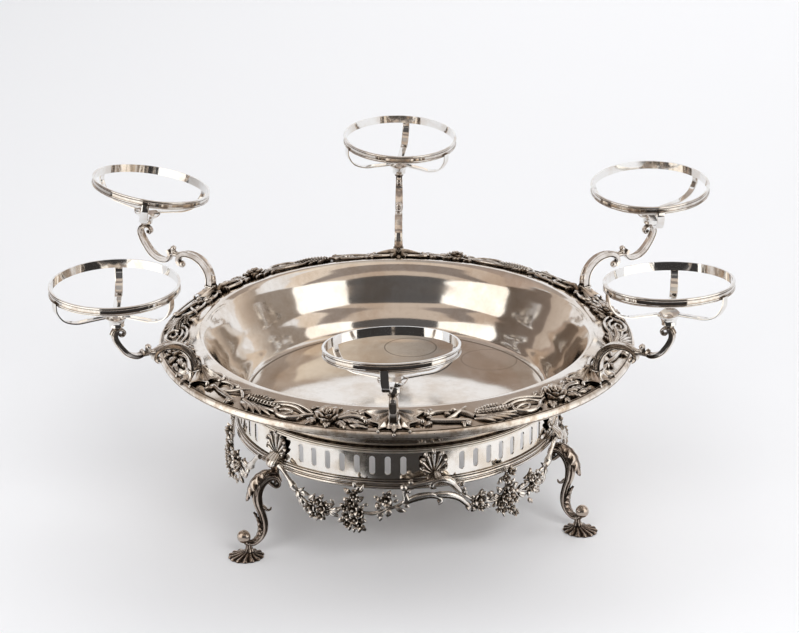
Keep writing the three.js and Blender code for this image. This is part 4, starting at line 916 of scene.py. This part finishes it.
def webbed_leaf():
    """Fans of points from the collar out: the reach is cut back by a sine between two tips. A thin rib runs to
    each tip, |cos|^6, the web between sags by a sine, and its free edge turns up."""
    root = np.array([0, LEAF_ROOT])
    ends = np.array(TIPS) - root
    steps = np.linspace(0, len(TIPS) - 1, 10 * (len(TIPS) - 1) + 1)
    angle = np.interp(steps, np.arange(len(TIPS)), np.arctan2(ends[:, 0], ends[:, 1]))[None, :]
    reach = np.interp(steps, np.arange(len(TIPS)), np.linalg.norm(ends, axis=1))[None, :]
    between = np.abs(np.sin(np.pi * steps))[None, :]
    ridge = np.abs(np.cos(np.pi * steps))[None, :] ** 6
    out = np.linspace(0.14, 1, 22)[:, None]
    r = reach * out * (1 - 0.3 * between ** 0.8 * out ** 1.6)
    u, v = root[0] + r * np.sin(angle), root[1] + r * np.cos(angle)
    swell = np.sin(np.pi * np.clip(out * 0.92, 0, 1))
    lip = 0.8 * np.exp(-((1 - out) / 0.07) ** 2)
    w = 5.2 * (1 - out) ** 1.3 + 1.7 + 1.7 * ridge * swell ** 0.6 - 0.9 * between * swell + lip
    w = w - 0.3 * np.maximum(v - BRIM_BEND, 0)
    top = np.stack([u, v, w], -1)
    under = np.stack([u, v, np.minimum(w - 0.9, 0.2) + 0 * w], -1)
    flank = np.exp(-((between - 0.45) / 0.22) ** 2) * (1 - out) ** 0.6
    clear = np.concatenate([np.clip(0.85 + 0.25 * ridge + 0.2 * out - 0.55 * flank, 0.2, 1.1), 0.4 + 0 * w], 1)
    return lofted(np.concatenate([top, under[:, ::-1]], 1), clear)


def squared(wave, power):
    """A sine or cosine drawn out towards a square: its size to a power below one, with its sign."""
    return np.sign(wave) * np.abs(wave) ** power


def square_ring(sizes):
    """Rounded squares of (width, height), joined all round: up the outside and down the inside."""
    a = around(48)[None, :]
    size, z = columns(sizes)
    x, y = SOCKET + size / 2 * squared(np.cos(a), 0.5), size / 2 * squared(np.sin(a), 0.5)
    return patch(np.stack([x, y, z + 0 * a], -1), True, True)


CURL = [(9, 182, 1.8), (17, 179.6, 2.2), (24, 179.2, 2.4), (28, 181.6, 2.4), (27.4, 185, 2.4), (25, 184.4, 2.6)]
FOLIAGE = [webbed_leaf()] + [ball(size, (u * 0.99, v - 0.3, 2.0 - 0.4 * max(v - BRIM_BEND, 0)), 12)
                            for (u, v), size in zip(TIPS[1:6], (1.9, 1.2, 1.3, 1.2, 1.9))]
for side in (-1, 1):
    FOLIAGE.append(stem([(side * u, v, w) for u, v, w in CURL], [3.2, 3, 3, 3, 3, 3.6], 40, 10))
    FOLIAGE.append(leaf((side * 12, 187, 1.4), (side * 20, 179.6, 1.8), 6, side * 1, 1.4, teeth=3, thick=1.6))
    FOLIAGE.append(leaf((side * 5, 187, 2.4), (side * 7, 178.6, 2), 6, side * 0.6, 1.6, teeth=3, thick=1.8))
COLLAR = square_ring([(15, COLLAR_LOW), (12.6, 164.3), (10.6, 165.6), (9.5, 167), (9.3, 168.9), (9.9, 169.3),
                      (10.2, 169.8), (9.8, 170.3), (8.8, COLLAR_TOP), (COLLAR_BORE, COLLAR_TOP),
                      (COLLAR_BORE, COLLAR_LOW)])
for k in range(6):
    socket = metal_body(f"webbed_socket_{k + 1}", on_brim(FOLIAGE, 60 * k) + turned([COLLAR], 60 * k), cast_silver)
    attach(socket, "base")
    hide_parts(f"leaf_socket_{k + 1}")

# Arms
# Six cast arms, each a square peg that lifts out of a socket on the brim, a C scroll that arches out, a
# leafy knot, and a second C scroll that rises to a boss and a threaded spigot. Use has bent each a little.

arm_silver = silver("arm_silver", (0.82, 0.77, 0.72), (0.46, 0.38, 0.31), rough=0.1, tone=0.8, patch_size=0.014,
                    dark=(0.2, 0.74), speckle=0.2, scratch=0.000003)
ARM_REACH, ARM_RISE, PEG_HALF, PEG_ENDS = 66.5, 48.5, 2.5, [164.0, 172.4]
ARM_FOOT = COLLAR_TOP + 0.3
LOWER_SCROLL = [(0.0, 0.0), (0.005, 0.13), (0.04, 0.27), (0.11, 0.39), (0.2, 0.47), (0.3, 0.505),
                (0.41, 0.5), (0.49, 0.44), (0.515, 0.34), (0.475, 0.275)]
UPPER_SCROLL = [(0.68, 0.53), (0.645, 0.44), (0.7, 0.35), (0.81, 0.35), (0.92, 0.43),
                (1.0, 0.56), (1.06, 0.7), (1.085, 0.83), (1.05, 0.92), (1.0, 0.945)]
END_VOLUTE = [(1.075, 0.86), (1.045, 0.925), (0.99, 0.945), (0.93, 0.92), (0.905, 0.865), (0.93, 0.82),
              (0.965, 0.83), (0.965, 0.86)]
BOSS_PROFILE = [(0, -2.6), (3.4, -2.6), (4.1, -1.9), (3.5, -1.2), (4.3, -0.7), (4.4, 0), (2, 0), (2, 5.9),
                (0, 5.9)]
# Of each arm: the degrees that its ring's outer side and the side towards the next arm stand too high,
# how far the ring has turned, how far the arm's end has moved out and up, and how full its curl still is.
WEAR = [(6.4, 1.5, -5, -1.5, 0, 0.85), (3.7, -2.6, -10, -3.4, 3.2, 0.7), (3.6, 3.1, 6, 2.3, -1.5, 0.95),
        (4, 1.6, -6, 1.7, 1.6, 1), (7.5, 7.1, 1, 3.1, -1.8, 1.1), (-1, -1, 3, 0, 2.6, 0.7)]


def arm_points(shares):
    """Points of an arm from shares of its reach and rise."""
    return np.array([SOCKET, ARM_FOOT]) + np.asarray(shares) * np.array([ARM_REACH, ARM_RISE])


def arm_section(at):
    """A hollowed face on the outside of the curve, flanks that taper in, and a bead along the inside."""
    half = np.array([(0.84, 0), (0.86, 0.35), (0.9, 0.6), (0.98, 0.78), (1.0, 0.9), (0.94, 1.0), (0.7, 0.99),
                     (0.3, 0.93), (-0.1, 0.87), (-0.42, 0.82), (-0.52, 0.74), (-0.56, 0.62), (-0.62, 0.7),
                     (-0.72, 0.82), (-0.86, 0.84), (-0.96, 0.7), (-1.0, 0.4), (-1.0, 0)])
    whole = np.vstack([half, half[-2:0:-1] * (1, -1)])
    return whole[:, 0] + 0 * at, whole[:, 1] + 0 * at


def arm_relief(at):
    """Painted dark, as oxide and shade, in the channel beside the bead, and painted a little darker along the
    middle of the hollowed face.
    """
    lift, side = arm_section(at)
    return np.where((lift < -0.45) & (lift > -0.66), 0.15, np.where(lift > 0.88, 0.85 + 0.15 * np.abs(side), 1.0))


def seat_turn(wear):
    """The turn of a ring about its seat: side about X, outer about Y, then its own turn about Z."""
    outer_up, side_up, own_turn = np.radians(wear[:3])
    return np.array(Matrix.Rotation(side_up, 3, "X") @ Matrix.Rotation(-outer_up, 3, "Y")
                    @ Matrix.Rotation(own_turn, 3, "Z"))


def seated(parts, wear, own_turn=True):
    """Parts made upright at the origin, moved to the seat of a worn arm."""
    turn = seat_turn(wear if own_turn else (*wear[:2], 0))
    seat = np.array([SOCKET + ARM_REACH + wear[3], 0, ARM_FOOT + ARM_RISE + wear[4]])
    return [(points @ turn.T + seat, faces, relief) for points, faces, relief in parts]


def arm_parts(wear):
    """The two scrolls, the balls in their curls, the knot and its leaf and spur, the volute, the peg and the boss.
    Wear bends the upper scroll: each point moves to its chord and back by how full the curl is, and then by
    its share of the way along as the end does."""
    moved, full = np.array(wear[3:5]), wear[5]
    along = np.linspace(0, 1, len(UPPER_SCROLL))[:, None]
    upper = np.array(UPPER_SCROLL)
    chord = upper[0] + (upper[-1] - upper[0]) * along
    upper = chord + (upper - chord) * full + along * (moved / np.array([ARM_REACH, ARM_RISE]))
    lower_bar = upright_sweep(arm_points(LOWER_SCROLL), [7.4, 7.4, 7, 6.2, 5.2, 4.4, 3.3],
                              [8.3, 7.2, 7.2, 7.2, 6.8, 6.5, 6.1], arm_section, 90, arm_relief)
    upper_bar = upright_sweep(arm_points(upper), [2.8, 3.9, 4.4, 5.1, 4.8, 4.4, 3.6],
                              [5.8, 6.5, 7.2, 7.2, 6.8, 6.5, 5.8], arm_section, 90, arm_relief)
    curl, knob, knot_in, knot_out = arm_points([(0.46, 0.29), (0.6, 0.53), (0.47, 0.46), (0.665, 0.45)])
    knot = upright_sweep([knot_in, (knot_in + knot_out) / 2 + (0, 0.6), knot_out],
                         [3.6, 5.2, 3.6], [5.4, 6.6, 5.4], leg_section, 14)
    knob_leaf = upright_sweep([knob + (-0.6, -5), knob + (-0.3, -1), knob + (0.4, 2.2), knob + (-0.6, 4.2)],
                              [4, 5.4, 4.2, 1.2], [5, 6.2, 4.4, 1.4], leg_section, 20)
    spur = upright_sweep([knot_in + (4, 1.2), knot_in + (-2, 3.6), knot_in + (-6.5, 4.4)],
                         [2.4, 1.8, 0.8], [5.6, 4.4, 1.6], leg_section, 14)
    volute = upright_sweep(arm_points(END_VOLUTE) + moved, [3.6, 3.6, 3, 2.6, 2.2], [6, 6.2, 6, 5.6, 5.2],
                           leg_section, 40, leg_relief)
    x, y = PEG_HALF * CORNERS.T
    peg = np.stack([SOCKET + x + np.zeros((2, 1)), y + np.zeros((2, 1)), np.array(PEG_ENDS)[:, None] + 0 * x], -1)
    return [lower_bar, upper_bar, ball(3.3, (curl[0], 0, curl[1]), 16, (1, 1.05, 1)), knot, knob_leaf, spur,
            volute, ball(2.7, (knob[0] - 0.3, 0, knob[1] + 2.2), 14, (1, 1.15, 0.9)),
            lofted(peg), *seated([revolved(BOSS_PROFILE, 32)], wear, False)]


for k in range(6):
    arm = metal_body(f"scroll_arm_{k + 1}", turned(arm_parts(WEAR[k]), 60 * k), arm_silver)
    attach(arm, f"arm_{k + 1}")
    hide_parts(f"arm_{k + 1}")

# Dish rings
# A band of plate with drawn reeds along its outside, on three flat straps that spring from a petalled
# cup. The cup turns on the arm's spigot under a domed nut.

ring_plate = silver("ring_plate", (0.87, 0.86, 0.84), (0.62, 0.52, 0.43), rough=0.07, tone=0.45, patch_size=0.02,
                    dark=(0.1, 0.42), speckle=0.25, scratch=0.000002)
RING_PROFILE = [(51.4, 31.2), (52.9, 31.2), (53.35, 31.45), (53.6, 31.9), (53.35, 32.35), (53.0, 32.5),
                (53.3, 32.65), (53.45, 33.0), (53.3, 33.35), (52.95, 33.5), (52.95, 35.9), (53.15, 36.05),
                (53.3, 36.35), (53.15, 36.65), (52.85, 36.8), (53.15, 36.95), (53.55, 37.35), (53.6, 37.8),
                (53.4, 38.2), (53.0, 38.45), (52.5, 38.5), (51.4, 38.5)]
RING_RELIEF = [1, 1, 1, 1, 0.8, 0.35, 0.9, 1, 0.8, 0.5, 0.9, 0.9, 1, 0.8, 0.4, 0.9, 1, 1, 1, 1, 1, 1]
RING_STEPS, STRAP_THICK, STRAP_WIDE = 160, 1.5, 6.6
STRAP_LINE = [(9.8, 10.8), (23.5, 11.2), (36.95, 12), (47.45, 16.6), (53.15, 24.75), (53.95, 28.5), (53.95, 33.5)]
# Each point of the cup's section: radius, height, and how much of the rim's wave it takes.
CUP_PROFILE = [(2.4, 0.3, 0), (5.4, 0.3, 0), (6.2, 0.9, 0), (6.1, 2.6, 0.05), (6.3, 4.6, 0.15), (7.5, 6.9, 0.5),
               (9.6, 8.9, 0.9), (11.4, 10.3, 1), (11.8, 11.0, 1), (11.0, 11.3, 1), (9.3, 10.1, 0.9),
               (7.2, 8.4, 0.5), (5.6, 6.2, 0.2), (5.0, 4.4, 0.05), (4.8, 1.8, 0), (2.4, 1.7, 0)]
DOME_PROFILE = [(0, 5.3), (2.2, 5.3), (2.3, 2.0), (4.0, 2.0), (4.2, 2.3), (4.2, 3.9), (3.7, 4.5), (3.6, 5.4),
                (2.9, 6.6), (1.6, 7.4), (0, 7.6)]


def strap_section(at):
    """A flat strip with softened edges."""
    a = around(24)[None, :]
    return squared(np.cos(a), 0.35) + 0 * at, squared(np.sin(a), 0.35) + 0 * at


def cup():
    """Loops round the cup, outside then inside. The rim waves three times: r and z gain cos 3a there."""
    a = around(96)[None, :]
    r, z, wave = columns(CUP_PROFILE)
    petal = wave * np.cos(3 * a)
    r = r + 0.9 * petal
    return patch(np.stack([r * np.cos(a), r * np.sin(a), z + 1.3 * petal - 0.9 * wave], -1), True, True)


def round_z(parts, degrees):
    """Parts turned about the Z axis."""
    turn = np.array(Matrix.Rotation(np.radians(degrees), 3, "Z"))
    return [(points @ turn.T, faces, relief) for points, faces, relief in parts]


strap = upright_sweep(STRAP_LINE, [STRAP_THICK] * 2, [STRAP_WIDE] * 2, strap_section, 60)
straps = [part for third in range(3) for part in round_z([strap], 120 * third)]
holder = {"reeded_ring": [revolved(RING_PROFILE, RING_STEPS, RING_RELIEF)], "strap_cradle": [cup(), *straps],
          "domed_nut": [revolved(DOME_PROFILE, 32)]}
for k in range(6):
    ring, cradle, nut = (
        metal_body(f"{name}_{k + 1}", turned(seated(parts, WEAR[k]), 60 * k), finish)
        for (name, parts), finish in zip(holder.items(), (ring_plate, ring_plate, arm_silver)))
    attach(ring, f"holder_{k + 1}")
    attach(cradle, f"holder_{k + 1}")
    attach(nut, f"arm_{k + 1}")
    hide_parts(f"dish_ring_{k + 1}")
    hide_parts(f"cradle_{k + 1}")
    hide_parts(f"cap_nut_{k + 1}")

# Studio
# A pale sweep under soft light. Cards that only the metal sees stand for the photographer's screens, the ceiling
# and the dark room before the sweep, and one is a painted shadow on the floor beneath the bowl. They are fitted to
# what the metal shows in the photograph.

bpy.context.scene.view_settings.view_transform = "Standard"
camera = linked("camera", bpy.data.cameras.new("camera"))
bpy.context.scene.camera = camera
EYE, TARGET, ROLL = Vector((0.02482, -2.11805, 1.02301)), Vector((0.00264, 0.00003, 0.1785)), np.radians(-0.22)
camera.rotation_mode = "QUATERNION"
camera.location = EYE
aim = (TARGET - EYE).to_track_quat("-Z", "Y").to_matrix() @ Matrix.Rotation(ROLL, 3, "Z")
camera.rotation_quaternion = aim.to_quaternion()
FOCAL_LENGTH, SENSOR, FRAME_WIDTH = 2631.036, 36, 799  # pixels, millimetres, pixels
camera.data.sensor_width = SENSOR
camera.data.lens = FOCAL_LENGTH * SENSOR / FRAME_WIDTH
camera.data.clip_end = 50


CARD_STEPS = 41


def card(name, corners, color, other=None, soft=0.0):
    """A glowing card that shows in polished metal only. Its colour runs from its first side to the opposite one,
    and it fades out over a soft margin: the margin is a share of its width and height, with round corners."""
    x, y = (v[:, :, None] for v in np.meshgrid(*[np.linspace(0, 1, CARD_STEPS)] * 2))
    a, b, c, d = (np.array(corner) for corner in corners)
    points = (1 - y) * ((1 - x) * a + x * b) + y * ((1 - x) * d + x * c)
    mesh = bpy.data.meshes.new(name)
    mesh.from_pydata(points.reshape(-1, 3), [], faces_of(CARD_STEPS, CARD_STEPS, False, False).tolist())
    away = np.hypot(np.maximum(soft - np.minimum(x, 1 - x), 0), np.maximum(soft - np.minimum(y, 1 - y), 0))
    shown = np.clip(1 - away / soft, 0, 1) ** 0.5 if soft else 1 + 0 * x
    for key, value in (("shown", shown), ("across", x)):
        mesh.attributes.new(key, "FLOAT", "POINT").data.foreach_set("value", value.reshape(-1).astype(np.float32))
    finish, tree = new_finish(name)
    tree.nodes.remove(tree.nodes["Principled BSDF"])
    across = node(tree, "Attribute", {}, attribute_name="across").outputs["Fac"]
    hue = node(tree, "Mix", {0: across, 6: (*color, 1), 7: (*(other or color), 1)}, data_type="RGBA").outputs[2]
    glow = node(tree, "Emission", {"Color": hue, "Strength": 1.0}).outputs[0]
    clear = node(tree, "BsdfTransparent", {}).outputs[0]
    share = node(tree, "Attribute", {}, attribute_name="shown").outputs["Fac"]
    both = node(tree, "MixShader", {0: share, 1: clear, 2: glow}).outputs[0]
    tree.links.new(both, tree.nodes["Material Output"].inputs["Surface"])
    mesh.materials.append(finish)
    piece = linked(name, mesh)
    piece.visible_camera = piece.visible_diffuse = piece.visible_shadow = False
    piece.visible_transmission = piece.visible_volume_scatter = False


paper, paper_tree = new_finish("floor_paper")
for key, value in (("Base Color", (0.9, 0.9, 0.915, 1)), ("Roughness", 1.0), ("Specular IOR Level", 0.0)):
    paper_tree.nodes["Principled BSDF"].inputs[key].default_value = value
FLOOR_HALF = 6
sweep = bpy.data.meshes.new("floor")
sweep.from_pydata([(FLOOR_HALF * x, FLOOR_HALF * y, 0) for x, y in CORNERS.tolist()], [], [(0, 1, 2, 3)])
sweep.materials.append(paper)
floor = linked("floor", sweep)

DARK, WARM_WHITE = (0.046, 0.043, 0.042), (1.5, 1.45, 1.37)
# Cards from side to side: the x of their sides, the (y, z) of their front and back edges, and one colour or two.
for name, (left, right), front, back, *look in (
        ("dark_before_sweep", (-4, 4), (-4, 0.002), (-0.31, 0.002), DARK),
        # The next card is a painted shadow: dark where the floor under the bowl lies in shade.
        ("dark_beneath", (-0.1, 0.12), (-0.34, 0.003), (0.0, 0.003), (0.02, 0.016, 0.013), None, 0.25),
        ("dark_room", (-4, 4), (-3.9, 0), (-3.9, 3.5), (0.11, 0.105, 0.105)),
        ("ceiling_before", (-4, 4), (-3.9, 3.5), (-2.3, 2.92), (0.62, 0.52, 0.44)),
        ("ceiling_step", (-4, 4), (-2.3, 2.92), (-1.4, 2.6), (0.26, 0.22, 0.2), (0.34, 0.29, 0.26)),
        ("ceiling_beam", (-4, 4), (-1.4, 2.6), (-0.5, 2.6), (0.58, 0.47, 0.39), (0.95, 0.84, 0.73)),
        ("ceiling_above", (-0.6, 1.6), (-0.5, 2.6), (0.8, 2.6), (0.36, 0.34, 0.33), (1.02, 0.92, 0.8)),
        ("ceiling_left", (-4, -0.6), (-0.5, 2.6), (1.5, 2.6), (0.58, 0.47, 0.4), (0.4, 0.34, 0.31)),
        ("ceiling_behind", (-0.6, 4), (0.8, 2.6), (1.5, 2.6), (0.45, 0.38, 0.33), (0.7, 0.6, 0.52)),
        ("ceiling_back", (-4, 4), (1.5, 2.6), (2.8, 2.4), (0.42, 0.36, 0.32))):
    card(name, [(left, *front), (right, *front), (right, *back), (left, *back)], *look)
# Upright cards: the (x, y) of their sides, their foot, the heights of their tops, and one colour or two.
for name, first, second, foot, tops, *look in (
        ("screen_right", (0.354, -0.417), (0.8, -0.15), 0, (0.62, 0.68), WARM_WHITE),
        ("screen_left", (-0.33, -0.44), (-0.8, -0.06), 0, (0.6, 0.68), WARM_WHITE),
        ("side_right", (0.82, -0.15), (0.9, 0.34), 0.2, (0.7, 0.7), (0.34, 0.29, 0.25)),
        ("side_left", (-0.82, -0.06), (-0.94, 0.55), 0.2, (0.75, 0.75), (0.15, 0.12, 0.1), (0.22, 0.17, 0.14)),
        ("side_far_left", (-0.94, 0.55), (-1.1, 1.2), 0.2, (0.9, 0.9), (0.5, 0.41, 0.34), (0.7, 0.6, 0.52)),
        ("side_far_right", (0.9, 0.34), (1.05, 0.8), 0.36, (0.9, 0.9), (0.42, 0.36, 0.31), (0.88, 0.78, 0.69))):
    card(name, [(*first, foot), (*second, foot), (*second, tops[1]), (*first, tops[0])], *look)

world = bpy.context.scene.world or bpy.data.worlds.new("studio")
bpy.context.scene.world = world
world.use_nodes = True
sky = world.node_tree
path_kind = node(sky, "LightPath", {})
seen = path_kind.outputs["Is Camera Ray"]
for kind in ("Is Glossy Ray", "Is Transmission Ray"):
    seen = node(sky, "Math", {0: seen, 1: path_kind.outputs[kind]}, operation="MAXIMUM").outputs[0]
sky.nodes["Background"].inputs["Color"].default_value = (0.31, 0.31, 0.315, 1)
sky.nodes["Background"].inputs["Strength"].default_value = 1.0
white = node(sky, "Background", {"Color": (0.95, 0.95, 0.97, 1), "Strength": 1.0})
both = node(sky, "MixShader", {0: seen, 1: sky.nodes["Background"].outputs[0], 2: white.outputs[0]})
sky.links.new(both.outputs[0], sky.nodes["World Output"].inputs["Surface"])


def lamp(name, place, aim, width, height, power):
    """A soft rectangular lamp that the metal shows through its card alone."""
    light = bpy.data.lights.new(name, "AREA")
    light.shape = "RECTANGLE"
    light.size, light.size_y = width, height
    light.energy = power
    made = linked(name, light)
    made.location = place
    made.rotation_mode = "QUATERNION"
    made.rotation_quaternion = (Vector(aim) - Vector(place)).to_track_quat("-Z", "Y")
    made.visible_glossy = False


lamp("front_right", (1.0, -1.9, 1.6), (0, 0, 0), 1.2, 1.0, 28)
lamp("front_left", (-1.0, -1.9, 1.6), (0, 0, 0), 1.2, 1.0, 16)
lamp("overhead", (0.2, 0.2, 2.2), (0.1, 0.1, 0), 1.8, 1.6, 4)
lamp("side_right", (1.6, 0.4, 2.0), (0.2, 0.4, 0), 1.4, 1.4, 8)
lamp("side_left", (-1.6, 0.4, 2.0), (-0.2, 0.4, 0), 1.4, 1.4, 9)
lamp("back", (0.6, 2.4, 2.0), (0.4, 1.4, 0), 2.4, 1.2, 30)
